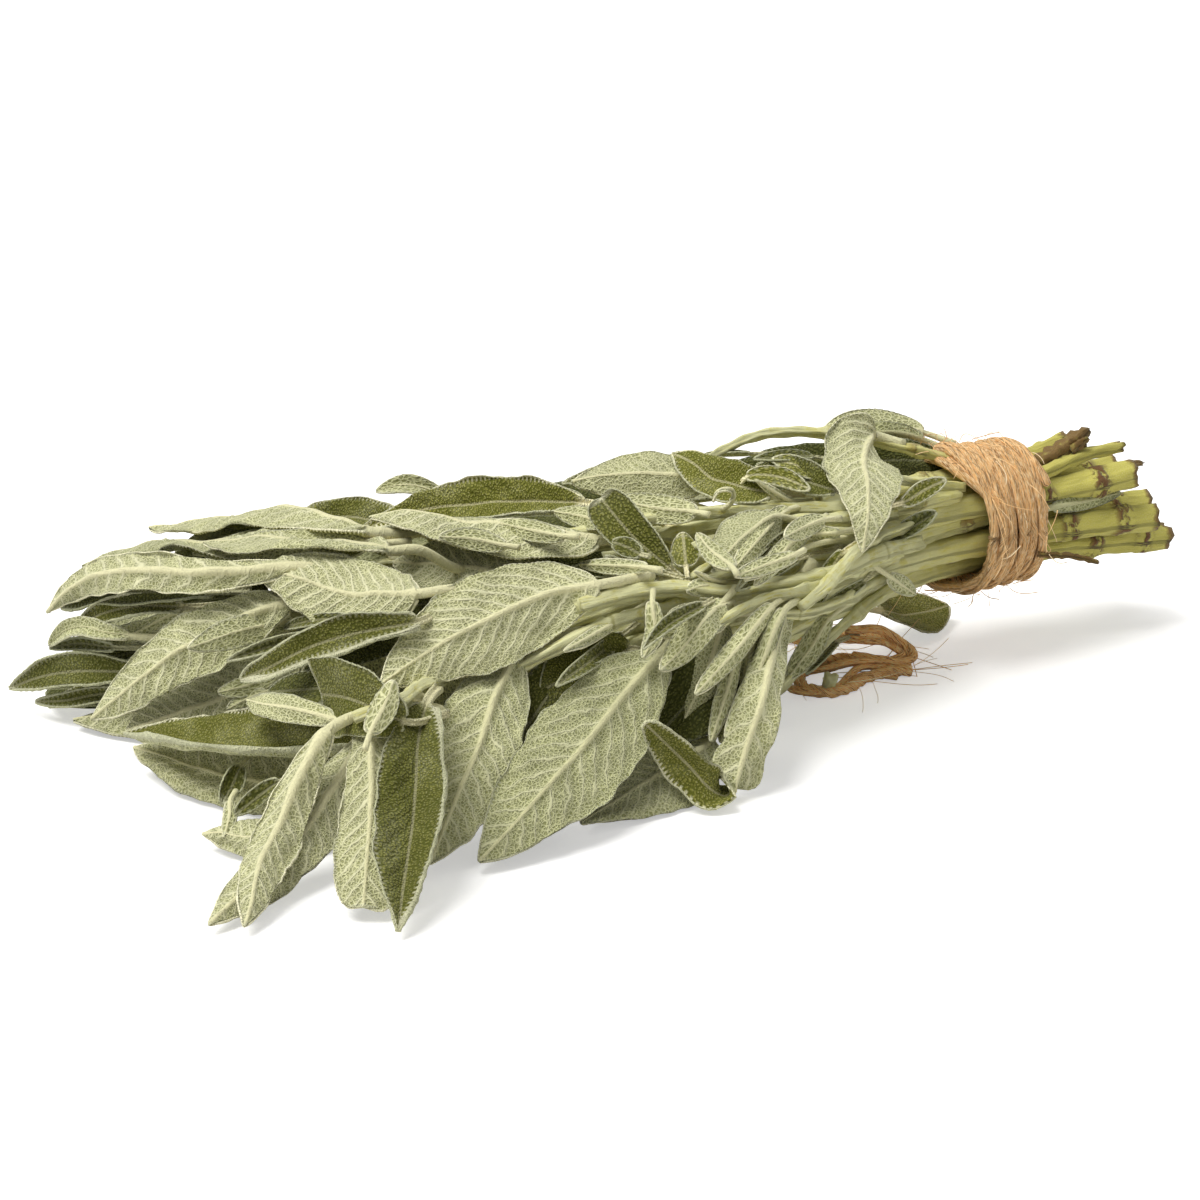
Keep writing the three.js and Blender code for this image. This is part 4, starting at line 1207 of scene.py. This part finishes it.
        ("under", 4.6, (65, 65), 0.1, 0.8, ((14, -28, 41.5), (16, -23, 41), (17.5, -13, 41), (19, -5, 42))),
        ("upper", 4.4, (65, 65), 0.1, 0.3, ((4, -12, 42), (4, -9, 41.5), (3, -5, 42), (2, -1, 42))),
        ("under", 4.8, (65, 65), 0.1, 0.9, ((-15, 5, 42), (-17, 7.5, 42), (-21, 12, 42.6), (-27, 16, 43))),
    ),
    "cut_ends": (
        ("under", 4.0, (70, 70), 0.2, 0.1, ((103, -3, 32), (107, -3, 32), (116, -2, 31.5), (127, 0, 31))),
    ),
}
# The same as ROLLS, by bundle and place in it.
SMALL_ROLLS = {
    ("left", 1): (1.2, 1.2),
    ("left", 2): (1.0, 3.4),
    ("front", 0): (1.1, 1.1),
    ("far_left", 0): (1.2, 1.2),
    ("far_left", 2): (1.2, 1.2),
    ("far_left", 4): (1.2, 1.2),
    ("far_left", 5): (1.2, 1.2),
}


class SAGE_OT_small_leaves(Operator):
    """Add the small leaves that grow among the stems"""

    bl_idname = "sage.small_leaves"
    bl_label = "Add Small Leaves"

    def execute(self, context):
        settings = context.scene.sage_bunch.leaves
        materials = leaf_finishes(settings)
        skin_rows, half = SMALL_SKIN
        for bundle, (place, rows) in enumerate(SMALL_LEAVES.items()):
            patches, slots = [], []
            for k, (shows, width, tilt, cup, tone, points) in enumerate(rows):
                random = np.random.default_rng(700 + 40 * bundle + k)
                blade = drawn_blade(shows, width, tilt, cup, points)
                strips = SMALL_ROLLS.get((place, k), SMALL_PLAIN_ROLLS[shows])
                finish = (tone, SMALL_LEAF_NUMBER + bundle + k / SMALL_PER_NUMBER)
                patch = leaf_patch(blade, settings, random, skin_rows, half, *finish, strips, SMALL_SHAPE)
                patches.append(patch)
                slots.append(leaf_slots(patch, half))
            make_piece(f"sage_small_leaves_{place}", patches, materials, np.concatenate(slots))
        return {"FINISHED"}


# ---- Stems ----

STEM_STEP = 1.0  # mm between the rows of a stem
STEM_COLUMNS = 20
BRANCH_COLUMNS = 14
STEM_AGES = (54, 106)  # from where to where along X, in mm, a young stem turns into an old one
FAR = 50.0  # mm, too far from a scar or a cut for it to show
CLOSE_POINTS = 200  # places along a stem where it is looked for leaves
LEAF_NEAR = 6  # mm from a stem within which a leaf grows on it
TAPER = (0.35, 32)  # how thick a stem is at its tip, as a share, and over how many mm it thins


def tube(line, radius, columns):
    """Points round a line. radius has one row for each point of the line and one column for each side."""
    forward = unit(np.gradient(line, axis=0))
    upward = np.array((0.0, 0.0, 1.0))
    side = unit(np.cross(upward, forward))
    lifted = np.cross(forward, side)
    turn = TAU * np.arange(columns) / columns
    return (
        line[:, None]
        + side[:, None] * (radius * np.cos(turn))[..., None]
        + lifted[:, None] * (radius * np.sin(turn))[..., None]
    )


def stem_patch(line, thickness, settings, random, number, nodes, columns=BRANCH_COLUMNS, kind="plain"):
    """The skin of a stem along line, thickness giving its radius at each point. nodes are distances along it
    where leaves grow or grew. kind is plain, cut where it starts at its cut end, or corky all over."""
    along = arc(line)
    rows = max(8, int(along[-1] / STEM_STEP))
    places = np.linspace(0, along[-1], rows)
    middle = spline(along, line, places)
    radius = np.interp(places, along, thickness)
    sway = random.uniform(0, TAU, 6)
    wander = np.stack((np.zeros(rows), np.sin(places / 9 + sway[0]), np.sin(places / 11 + sway[1])), -1)
    middle = middle + 0.25 * wander * ramp(places, 0, 10)[:, None]

    depth = places[:, None]
    turn = TAU * np.arange(columns) / columns
    corners = settings.ridge_depth / MM * np.cos(4 * (turn + (depth / 60 + sway[2])))
    grooves = 0.08 * np.sin(9 * turn + sway[3] + depth / 25)
    lumps = 0.12 * np.sin(depth * 0.9 + 3 * turn + sway[4])
    near = np.min(np.abs(depth - nodes), axis=1) if nodes else np.full(rows, FAR)
    swell = settings.node_swell / MM * (bell(near, 1.5) - 0.5 * bell(near, 0.35))
    skin = radius[:, None] + corners + grooves + swell[:, None] + lumps
    grid = tube(middle, skin, columns)
    start, from_cut = middle[0], FAR
    if kind == "cut":
        ragged = 0.35 * np.sin(3 * turn + sway[5]) + 0.25 * np.sin(7 * turn + 2 * sway[5])
        forward = unit(middle[0] - middle[1])
        grid[0] += forward * (ragged[:, None] + 0.2)
        grid[1] += forward * ragged[:, None] * 0.6
        start, from_cut = middle[0] - forward * 0.5, depth
    elif kind == "corky":
        lump = 0.2 * np.sin(3 * turn + depth * 1.9) + 0.13 * np.sin(5 * turn - 2.7 * depth)
        grid = grid + (grid - middle[:, None]) * lump[..., None]
        from_cut = 0.0
    age = ramp(middle[:, 0], *STEM_AGES)[:, None]
    return Patch(
        start,
        grid,
        middle[-1],
        stem_at=layered(skin.shape, depth, turn * radius.mean(), near[:, None]),
        stem_age=layered(skin.shape, from_cut, age, number),
    )


class SAGE_OT_stems(Operator):
    """Add the stems, from their cut ends to their tips"""

    bl_idname = "sage.stems"
    bl_label = "Add Stems"

    def execute(self, context):
        settings = context.scene.sage_bunch.stems
        material = shared("sage stem", stem_finish, settings)
        leaf_starts = [rings_of(node)[0] for node in nodes_named("leaf_")]
        for number, node in enumerate(nodes_named("stem_")):
            random = np.random.default_rng(300 + number)
            rings = rings_of(node)[1]
            line = rings.mean(1)
            radius = np.linalg.norm(rings - line[:, None], axis=2).mean(1)
            if line[0, 0] < line[-1, 0]:
                line, radius = line[::-1], radius[::-1]
            along = arc(line)
            close = spline(along, line, np.linspace(0, along[-1], CLOSE_POINTS))
            nodes = [random.uniform(6, 9), random.uniform(19, 23)]
            for leaf in leaf_starts:
                gap = np.linalg.norm(close - leaf, axis=1)
                if gap.min() < LEAF_NEAR:
                    nodes.append(np.argmin(gap) * along[-1] / (CLOSE_POINTS - 1))
            thinnest, taper = TAPER
            radius = radius * (thinnest + (1 - thinnest) * ramp(along[-1] - along, 0, taper))
            patch = stem_patch(line, radius, settings, random, number, nodes, STEM_COLUMNS, "cut")
            piece = make_piece(f"sage_{node}", [patch], [material])
            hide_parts(node)
        return {"FINISHED"}


# Stems inside the bunch that lie between two stems of the frame, how near to the first of them, and the share
# of their length that they reach.
BETWEEN = (
    ("stem_1", "stem_3", 0.5, 0.9),
    ("stem_3", "stem_4", 0.5, 0.8),
    ("stem_1", "stem_2", 0.5, 0.8),
    ("stem_1", "stem_9", 0.5, 0.85),
    ("stem_2", "stem_9", 0.5, 0.8),
    ("stem_3", "stem_9", 0.5, 0.85),
    ("stem_4", "stem_8", 0.5, 0.75),
    ("stem_4", "stem_5", 0.5, 0.85),
    ("stem_5", "stem_8", 0.5, 0.9),
    ("stem_7", "stem_9", 0.5, 0.8),
    ("stem_6", "stem_8", 0.6, 0.85),
    ("stem_1", "stem_8", 0.5, 0.7),
)
# Branches that leave the stems: the radius at either end in mm, and points from the stem outwards.
BRANCHES = (
    (0.9, 0.8, ((92, 6, 41), (80, 12, 45), (66, 22, 48), (52, 24, 49), (42, 22, 48), (34, 19, 47))),
    (1.5, 1.2,
     ((84, -1, 38), (66, -4, 39), (52, -2, 41), (38, 4, 41), (22, 8, 41), (4, 9, 41), (-8, 12, 40))),
    (1.3, 1.0, ((66, -5, 38), (52, -5, 39), (40, -2, 40), (30, -1, 39), (20, -2, 38))),
    (1.1, 0.9, ((60, -7, 36), (46, -6, 37), (34, -5, 37), (24, -6, 36), (16, -8, 34))),
    (1.6, 1.4,
     ((70, -8, 32), (56, -12, 33), (44, -15, 32), (30, -17, 33), (20, -16, 33), (10, -14, 35), (-2, -14, 36),
      (-14, -16, 36))),
    (1.5, 0.7, ((64, -9, 31), (50, -13, 31), (36, -18, 31), (26, -20, 32), (14, -23, 30.5), (4, -26, 27))),
    (1.4, 1.1, ((68, -7, 36), (58, -10, 36), (46, -16, 34), (38, -20, 31), (33, -21, 29))),
    (1.5, 1.0,
     ((22, -12, 30), (10, -13, 31), (-2, -15, 32), (-12, -17, 31.5), (-20, -17, 29), (-27, -15.5, 26))),
    (1.3, 1.1,
     ((-4, 0, 27), (-23, -2, 26), (-38, -9, 25), (-51, -20, 28), (-60, -28.6, 29.6), (-66.5, -25.6, 27))),
    (1.2, 1.0, ((-8, -4, 25), (-31, -6, 25), (-44, -12, 25.5), (-54, -22, 27), (-59, -26, 25))),
    (1.1, 0.9, ((62, -8, 26), (50, -12, 25), (38, -17, 26), (28, -20, 28), (20, -22, 26))),
    (1.2, 0.9, ((70, -2, 22), (58, -3, 17), (46, -6, 12), (36, -10, 8), (28, -13, 6))),
    (1.1, 0.8, ((86, 0, 39), (74, -2, 42), (66, -4, 45), (60, -7, 46))),
)
# Odds and ends by the cut and the tail: cut, corky or plain, the radii in mm, and points from the outer end
# inwards.
STUBS = (
    ("cut", (1.15, 1.2, 1.2), ((128, 2, 40.5), (118, 2, 40), (104, 1, 38))),
    ("corky", (0.5, 1.2, 1.7, 1.9, 1.6),
     ((121, 4, 44.8), (119.6, 4.2, 44.2), (117.5, 4, 43), (114, 4, 41), (108, 4, 39))),
    ("corky", (0.4, 0.9, 1.4), ((118.5, 1, 44.2), (117.5, 2, 43), (115.5, 3, 41.5))),
    ("cut", (1.7, 1.8, 1.8), ((116.5, 7, 42), (108, 7, 40), (100, 7, 37.5))),
    ("corky", (0.3, 0.5, 0.5, 0.5), ((115, -9, 20.2), (112, -8, 21.4), (108, -7.5, 22.6), (101, -7, 24))),
    ("corky", (0.2, 0.8, 1.2), ((134, 2, 36), (130, 1, 36.4), (124, 0, 36))),
    ("plain", (1.3, 1.6, 1.5, 1.0), ((52.4, -3.2, 3.2), (53, -2, 3.4), (54, -0.6, 3.2), (54.6, 0.4, 2.8))),
)
BETWEEN_RADII = (2.1, 1.9, 1.2)  # of a stem inside the bunch, in mm, at its start, its middle and its tip
BETWEEN_SWAY = 1.6  # mm that it may stray
BETWEEN_POINTS = 24  # points in its middle line
BEFORE_TIE = 4  # mm before the middle of the winding, where the stems inside the bunch start
# Where leaves grow on the stems inside the bunch and on the branches, in mm from their start.
BETWEEN_NODES = (8.0, 40.0, 62.0)
BRANCH_NODES = (12.0, 30.0)


class SAGE_OT_branches(Operator):
    """Add the stems inside the bunch and the branches that carry the small leaves"""

    bl_idname = "sage.branches"
    bl_label = "Add Branches"

    def execute(self, context):
        settings = context.scene.sage_bunch.stems
        material = shared("sage stem", stem_finish, settings)
        random = np.random.default_rng(400)
        halves = np.array((0, 0.5, 1.0))
        lines = stem_lines()
        inner, outer = [], []
        for k, (near, far, share, reach) in enumerate(BETWEEN):
            places = np.linspace(0, reach, BETWEEN_POINTS)
            pair = []
            for line in (lines[near], lines[far]):
                line = line if line[0, 0] > line[-1, 0] else line[::-1]
                line = line[line[:, 0] < TIE[0] - BEFORE_TIE]
                pair.append(spline(np.linspace(0, 1, len(line)), line, places))
            line = share * pair[0] + (1 - share) * pair[1]
            sway = random.uniform(-1, 1, (3, 3)) * BETWEEN_SWAY
            line = line + spline(halves, sway * np.array((0, 1, 1)), places / reach)
            radius = np.interp(places, halves, BETWEEN_RADII)
            number = INNER_STEM_NUMBER + k
            inner.append(stem_patch(line, radius, settings, random, number, BETWEEN_NODES))
        for k, (start, stop, points) in enumerate(BRANCHES):
            line = np.array(points, float)
            radius = np.linspace(start, stop, len(line))
            number = BRANCH_NUMBER + k
            outer.append(stem_patch(line, radius, settings, random, number, BRANCH_NODES))
        for k, (kind, radii, points) in enumerate(STUBS):
            line = np.array(points, float)
            outer.append(stem_patch(line, radii, settings, random, STUB_NUMBER + k, (), kind=kind))
        for name, patches in (("sage_inner_stems", inner), ("sage_branches", outer)):
            make_piece(name, patches, [material])
        return {"FINISHED"}


# ---- Twine ----

# The loose tail leaves the winding underneath, comes down to the table and makes two loops.
TAIL_ROUTE = np.array(
    (
        (88.6, 17, 18.3), (85, 20, 16.4), (81, 24, 12), (77, 28.4, 6.8), (73, 32, 3), (69, 34, 1.4),
        (64.8, 32.8, 1.3), (62.8, 28.8, 1.3), (65.2, 25, 1.3), (70, 23.6, 1.3), (75, 22.4, 1.3),
        (79, 19, 1.3), (80.8, 14.2, 1.3), (80.4, 9.2, 1.3), (77.2, 5.6, 1.3), (72.6, 5.6, 1.3),
        (69, 8.8, 1.3), (65, 12, 1.3), (60, 12.6, 1.3), (55, 10, 1.3), (50.8, 6, 1.3), (49.6, 1, 1.3),
        (53, -2.8, 1.3), (58, -2.4, 1.3), (63, 0, 1.3), (68.4, 0.8, 1.3), (74, -0.6, 1.3),
    )
)
TAIL_POINTS = 260  # points in its middle line
# Lengths of twine: the columns of the skin, how many plies it is twisted from, over how many mm they go once
# round, and how far they stand out, as a share of its radius.
TAIL_LAY = (18, 3, 9.0, 0.13)
INNER_LAY = (12, 3, 14, 0.13)
OUTER_LAY = (18, 3, 34, 0.08)
SLACK_LAY = (14, 2, 22, 0.08)
STRAND_LAY = (12, 2, 24, 0.1)
SPLIT_LAY = (8, 2, 13, 0.05)


def tail_line():
    knots = arc(TAIL_ROUTE)
    return spline(knots, TAIL_ROUTE, np.linspace(0, knots[-1], TAIL_POINTS))


def cord_patch(line, radius, random, number, columns, plies, lay, lobe):
    """The skin of a length of twine, twisted from plies that go once round in lay millimetres and stand out
    by lobe, a share of its radius."""
    places = arc(line)[:, None]
    turn = TAU * np.arange(columns) / columns
    forward = unit(np.gradient(line, axis=0))
    sway = random.uniform(0, TAU, 6)
    twist = TAU * places / lay + sway[0]
    lobes = lobe * np.cos(plies * (turn - twist))
    strands = 0.05 * np.sin(7 * (turn - twist) + sway[1]) + 0.04 * np.sin(11 * turn - 5 * twist)
    thin = 1 + 0.06 * np.sin(places / 5 + sway[2])
    skin = radius * thin * (0.94 + lobes + strands)
    layer = layered(skin.shape, places, (turn - twist) * radius, number)
    grid = tube(line, skin, columns)
    return Patch(line[0] - forward[0] * 0.3, grid, line[-1] + forward[-1] * 0.5, twine_at=layer)


class SAGE_OT_twine_tail(Operator):
    """Add the loose tail of the twine"""

    bl_idname = "sage.twine_tail"
    bl_label = "Add Twine Tail"

    def execute(self, context):
        settings = context.scene.sage_bunch.twine
        random = np.random.default_rng(500)
        line = tail_line()
        patch = cord_patch(line, settings.diameter / MM / 2, random, TAIL_NUMBER, *TAIL_LAY)
        material = shared("jute twine", twine_finish, settings)
        piece = make_piece("twine_tail_loose", [patch], [material])
        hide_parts("twine_tail")
        return {"FINISHED"}


# The two layers of the winding: how many turns they have, from where to where they run along X in mm, how far
# they lie over the stems, how they sway, and where round the stems they start.
INNER_TURNS = {"turns": 7.6, "first": 90.4, "last": 103.0, "depth": 0.7, "sway": 0.4, "start": 0.7}
OUTER_TURNS = {"turns": 10.4, "first": 88.4, "last": 105.0, "depth": 2.0, "sway": 2.1, "start": 0.0}
FIBRE_DEPTH = 3.0  # mm over the stems at which the fibres leave the winding
TURN_POINTS = 90  # points in one turn
FLARE = 0.16  # how fast the winding widens towards the leaves
FLARE_START = 3  # mm before the middle of the winding
BESIDE_SLACK = (1.7, 0, 0.2)  # mm from the turn that strays to the thinner one beside it


def winding_line(turns, first, last, depth, sway, start):
    """A helix round the stems that starts at the far side."""
    steps = int(turns * TURN_POINTS)
    turn = start + TAU * np.linspace(0, turns, steps)
    x = first + (last - first) * np.linspace(0, 1, steps)
    x = x + 0.5 * np.sin(turn + sway) + 0.3 * np.sin(1.37 * turn + 2 * sway) + 0.22 * np.sin(2.71 * turn)
    flare = FLARE * np.clip(TIE[0] - FLARE_START - x, 0, None)
    radius = WRAP_INSIDE + depth + flare + 0.4 * np.sin(1.63 * turn + sway) + 0.16 * np.sin(5.3 * turn)
    return around_stems(x, radius, turn)


def around_stems(x, radius, turn):
    return np.stack((x, TIE[1] + radius * np.cos(turn), TIE[2] + radius * np.sin(turn)), -1)


def slack_turn():
    """The turn that strays from the winding, over its front and down its near side to the loose tail."""
    turn = np.linspace(0.1, 0.1 + TAU, 96)
    front = np.clip(-np.cos(turn), 0, 1) ** 2
    x = OUTER_TURNS["first"] - 0.1 + 2.9 * np.cos(2 * turn) + 0.3 * np.sin(5 * turn)
    return around_stems(x, WRAP_INSIDE + 1.3 + 2.3 * front, turn)


class SAGE_OT_winding(Operator):
    """Add the turns of twine that hold the stems"""

    bl_idname = "sage.winding"
    bl_label = "Add Winding"

    def execute(self, context):
        settings = context.scene.sage_bunch.twine
        random = np.random.default_rng(520)
        radius = settings.diameter / MM / 2
        slack = slack_turn()
        beside = slack[8:-8] + BESIDE_SLACK
        # Each length of twine has a line, how thick it is as a share of the tail, and how it is laid.
        lengths = (
            (winding_line(**INNER_TURNS), 0.95, INNER_LAY),
            (winding_line(**OUTER_TURNS), 0.8, OUTER_LAY),
            (slack, 0.84, OUTER_LAY),
            (beside, 0.6, SLACK_LAY),
        )
        patches = [
            cord_patch(line, radius * share, random, WINDING_NUMBER + k, *lay)
            for k, (line, share, lay) in enumerate(lengths)
        ]
        material = shared("jute twine", twine_finish, settings)
        piece = make_piece("twine_winding", patches, [material])
        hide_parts("twine_wrap")
        return {"FINISHED"}


# Strands that have come loose from the tail: radius and points, in mm, along the table beside it.
FRAYED = (
    (1.0,
     ((66, 12, 7.5), (69, 11, 7.4), (73, 10, 7), (76, 8.5, 5), (78, 6, 3.2), (77.4, 3.6, 2.2),
      (74, 2.6, 1.9), (70, 4.4, 2.6), (66, 9, 3))),
    (0.8,
     ((64, 12, 6), (69, 9, 5.6), (73.6, 7.6, 4.4), (75.4, 5, 2.8), (71, 4.6, 1.7), (65, 8, 2.2),
      (59, 7.4, 1.8))),
    (0.8,
     ((74, -0.4, 1.1), (70, 2.6, 1.5), (65, 4, 2.2), (60.4, 2, 1.7), (56, -0.8, 1.2), (50, -1.4, 1.1),
      (46, 2, 1.6))),
    (0.7, ((75, 1, 1.5), (69.4, 4, 2.6), (63, 5, 3.1), (58, 6, 2.6), (54, 7.4, 2))),
    (0.6, ((69.6, -2, 0.9), (66, 1.6, 1.2), (59, 0, 1.3), (53, -2.6, 1), (48, 0, 1))),
)
LOWEST_SPLIT = 0.4  # mm over the table
LOWEST_FIBRE = 0.25
FIBRE_POINTS = 9  # points in the middle line of a fibre


def frayed_patches(random):
    """The strands beside the tail, each with two thinner ones that split from its sides."""
    patches = []
    for k, (radius, points) in enumerate(FRAYED):
        knots = arc(points)
        strand = spline(knots, np.array(points, float), np.linspace(0, knots[-1], int(knots[-1] * 1.6)))
        patches.append(cord_patch(strand, radius, random, STRAND_NUMBER + k, *STRAND_LAY))
        across = np.cross(unit(np.gradient(strand, axis=0)), (0.0, 0.0, 1.0))
        for side in (-1, 1):
            sway = side * (radius + 0.3 * np.sin(arc(strand)[:, None] / random.uniform(3, 6)))
            split = strand + across * sway + (0, 0, 0.15)
            split[:, 2] = np.maximum(split[:, 2], LOWEST_SPLIT)
            number = SPLIT_NUMBER + 2 * k + side
            patches.append(cord_patch(split, radius * 0.42, random, number, *SPLIT_LAY))
    return patches


def fibre(start, heading, outward, reach, lift, random):
    """A loose fibre from start, as the points of its middle line, kept above the table."""
    share = np.linspace(0, 1, FIBRE_POINTS)[:, None]
    bend = np.cross(heading, outward) * random.normal(0, 0.3)
    line = start + heading * reach * share + outward * lift * np.sin(share * random.uniform(1.2, 3.0))
    line = line + bend * reach * share**2
    wobble = random.normal(0, 0.25, (3, 3))
    line = line + spline(np.array((0, 0.5, 1.0)), wobble * np.array(((0,), (1,), (1,))), share[:, 0])
    line[:, 2] = np.maximum(line[:, 2], LOWEST_FIBRE)
    return line


def fibre_patches(count, random):
    """The fibres: two in five on the winding, one on its slack turn and two on the tail."""
    sides = 4
    tail = tail_line()
    windings = winding_line(**{**OUTER_TURNS, "depth": FIBRE_DEPTH})
    sources = (windings, windings, slack_turn(), tail, tail)
    patches = []
    for k in range(count):
        source = sources[k % 5]
        at = int(random.uniform(2, len(source) - 3))
        if k % 15 == 14:  # the frayed end of the tail
            at = len(tail) - 3
        heading = unit(source[at + 1] - source[at]) * random.choice((-1, 1))
        outward = unit((source[at] - TIE) * (0, 1, 1))
        if source is tail:
            outward = unit(random.normal(0, 1, 3) * (1, 1, 0.25))
            heading = unit(heading + outward * 0.8)
        reach = random.uniform(5, 16) if source is tail else random.uniform(3, 9)
        line = fibre(source[at] + outward * 0.5, heading, outward, reach, random.uniform(0.3, 2.2), random)
        skin = np.full((len(line), sides), random.uniform(0.05, 0.1))
        layer = layered(skin.shape, 0.0, 0.3 * k, FIBRE_NUMBER + k)
        patches.append(Patch(line[0], tube(line, skin, sides), line[-1], twine_at=layer))
    return patches


class SAGE_OT_fibres(Operator):
    """Add the fibres that stand off the twine and the strands that have come loose from its tail"""

    bl_idname = "sage.fibres"
    bl_label = "Add Loose Fibres"

    def execute(self, context):
        settings = context.scene.sage_bunch.twine
        random = np.random.default_rng(540)
        patches = frayed_patches(random) + fibre_patches(settings.fibre_count, random)
        material = shared("jute twine", twine_finish, settings)
        make_piece("twine_fibres", patches, [material])
        return {"FINISHED"}


# ---- Stage ----

VIEW_AZIMUTH, VIEW_ELEVATION = np.radians(-30), np.radians(20)
KEY_TURN = (np.radians(24), 0, np.radians(-110))
VIEW_MIDDLE = (0, 0, 30.0)  # what the camera looks at, in bunch millimetres
TABLE_HALF = 3.0  # m
WHITE = (1, 1, 1, 1)


def add_to_scene(name, data):
    thing = bpy.data.objects.new(name, data)
    bpy.context.scene.collection.objects.link(thing)
    return thing


def studio_world(strength):
    """Even light of that strength, which the camera and clear reflections see as plain white."""
    world = bpy.data.worlds.new("studio")
    world.use_nodes = True
    tree = world.node_tree
    tree.nodes.clear()
    output = tree.nodes.new("ShaderNodeOutputWorld")
    soft = tree.nodes.new("ShaderNodeBackground")
    white = tree.nodes.new("ShaderNodeBackground")
    pick = tree.nodes.new("ShaderNodeMixShader")
    rays = tree.nodes.new("ShaderNodeLightPath")
    seen = rays.outputs["Is Camera Ray"]
    for ray in ("Is Glossy Ray", "Is Transmission Ray"):
        either = tree.nodes.new("ShaderNodeMath")
        either.operation = "MAXIMUM"
        tree.links.new(seen, either.inputs[0])
        tree.links.new(rays.outputs[ray], either.inputs[1])
        seen = either.outputs[0]
    tree.links.new(seen, pick.inputs[0])
    tree.links.new(soft.outputs[0], pick.inputs[1])
    tree.links.new(white.outputs[0], pick.inputs[2])
    tree.links.new(pick.outputs[0], output.inputs[0])
    soft.inputs["Color"].default_value = WHITE
    soft.inputs["Strength"].default_value = strength
    white.inputs["Color"].default_value = WHITE
    return world


def table_finish(settings):
    f = Finish("table top")
    place = f.node("ShaderNodeNewGeometry", {}).outputs["Position"]
    base = f.mix(f.noise(place, 40.0), scaled(settings.floor, 0.985), settings.floor)
    seen = f.node("ShaderNodeLightPath", {}).outputs["Is Camera Ray"]
    f.shader.inputs["Emission Color"].default_value = WHITE
    f.tree.links.new(f.times(seen, settings.floor_glow), f.shader.inputs["Emission Strength"])
    return f.finish(base, roughness=0.9, specular=0.1)


class SAGE_OT_stage(Operator):
    """Add the table top, the lights and the camera"""

    bl_idname = "sage.stage"
    bl_label = "Add Stage"

    def execute(self, context):
        settings = context.scene.sage_bunch.stage
        target = (np.array(VIEW_MIDDLE) + ORIGIN) * MM
        back = np.array(
            (
                np.sin(VIEW_AZIMUTH) * np.cos(VIEW_ELEVATION),
                -np.cos(VIEW_AZIMUTH) * np.cos(VIEW_ELEVATION),
                np.sin(VIEW_ELEVATION),
            )
        )
        camera = bpy.data.cameras.new("camera")
        camera.lens = settings.focal_length
        camera.sensor_width = 36
        camera.clip_start = 0.05
        viewer = add_to_scene("camera", camera)
        viewer.location = target + back * settings.distance
        viewer.rotation_euler = (np.pi / 2 - VIEW_ELEVATION, 0, VIEW_AZIMUTH)
        context.scene.camera = viewer

        lamp = bpy.data.lights.new("key light", "SUN")
        lamp.energy = settings.key_strength
        lamp.angle = settings.key_softness
        add_to_scene("key light", lamp).rotation_euler = KEY_TURN
        context.scene.world = studio_world(settings.sky_strength)

        mesh = bpy.data.meshes.new("table_top")
        low, high = -TABLE_HALF, TABLE_HALF
        corners = [(low, low, 0), (high, low, 0), (high, high, 0), (low, high, 0)]
        mesh.from_pydata(corners, [], [(0, 1, 2, 3)])
        mesh.materials.append(table_finish(settings))
        add_to_scene("table_top", mesh)
        context.scene.view_settings.view_transform = "Standard"
        return {"FINISHED"}


class SAGE_PT_bunch(Panel):
    """The sizes and colours of the bunch, and the operators that build it"""

    bl_idname = "SAGE_PT_bunch"
    bl_label = "Sage Bunch"
    bl_space_type = "VIEW_3D"
    bl_region_type = "UI"
    bl_category = "Sage Bunch"

    def draw(self, context):
        settings = context.scene.sage_bunch
        groups = (
            ("Stage", settings.stage, ("sage.stage",)),
            ("Twine", settings.twine, ("sage.twine_tail", "sage.winding", "sage.fibres")),
            ("Stems", settings.stems, ("sage.stems", "sage.branches")),
            ("Leaves", settings.leaves, ("sage.leaves", "sage.small_leaves")),
        )
        for label, group, operators in groups:
            box = self.layout.box()
            box.label(text=label)
            for name in group.bl_rna.properties.keys():
                if name not in ("rna_type", "name"):
                    box.prop(group, name)
            for operator in operators:
                box.operator(operator)


CLASSES = (
    LeafSettings,
    StemSettings,
    TwineSettings,
    StageSettings,
    BunchSettings,
    SAGE_OT_stage,
    SAGE_OT_twine_tail,
    SAGE_OT_winding,
    SAGE_OT_fibres,
    SAGE_OT_stems,
    SAGE_OT_branches,
    SAGE_OT_leaves,
    SAGE_OT_small_leaves,
    SAGE_PT_bunch,
)


def register():
    for cls in CLASSES:
        bpy.utils.register_class(cls)
    bpy.types.Scene.sage_bunch = PointerProperty(type=BunchSettings)


def unregister():
    del bpy.types.Scene.sage_bunch
    for cls in reversed(CLASSES):
        bpy.utils.unregister_class(cls)


def main():
    register()
    bpy.ops.sage.stage()
    bpy.ops.sage.twine_tail()
    bpy.ops.sage.winding()
    bpy.ops.sage.fibres()
    bpy.ops.sage.stems()
    bpy.ops.sage.branches()
    bpy.ops.sage.leaves()
    bpy.ops.sage.small_leaves()


if __name__ == "__main__":
    main()
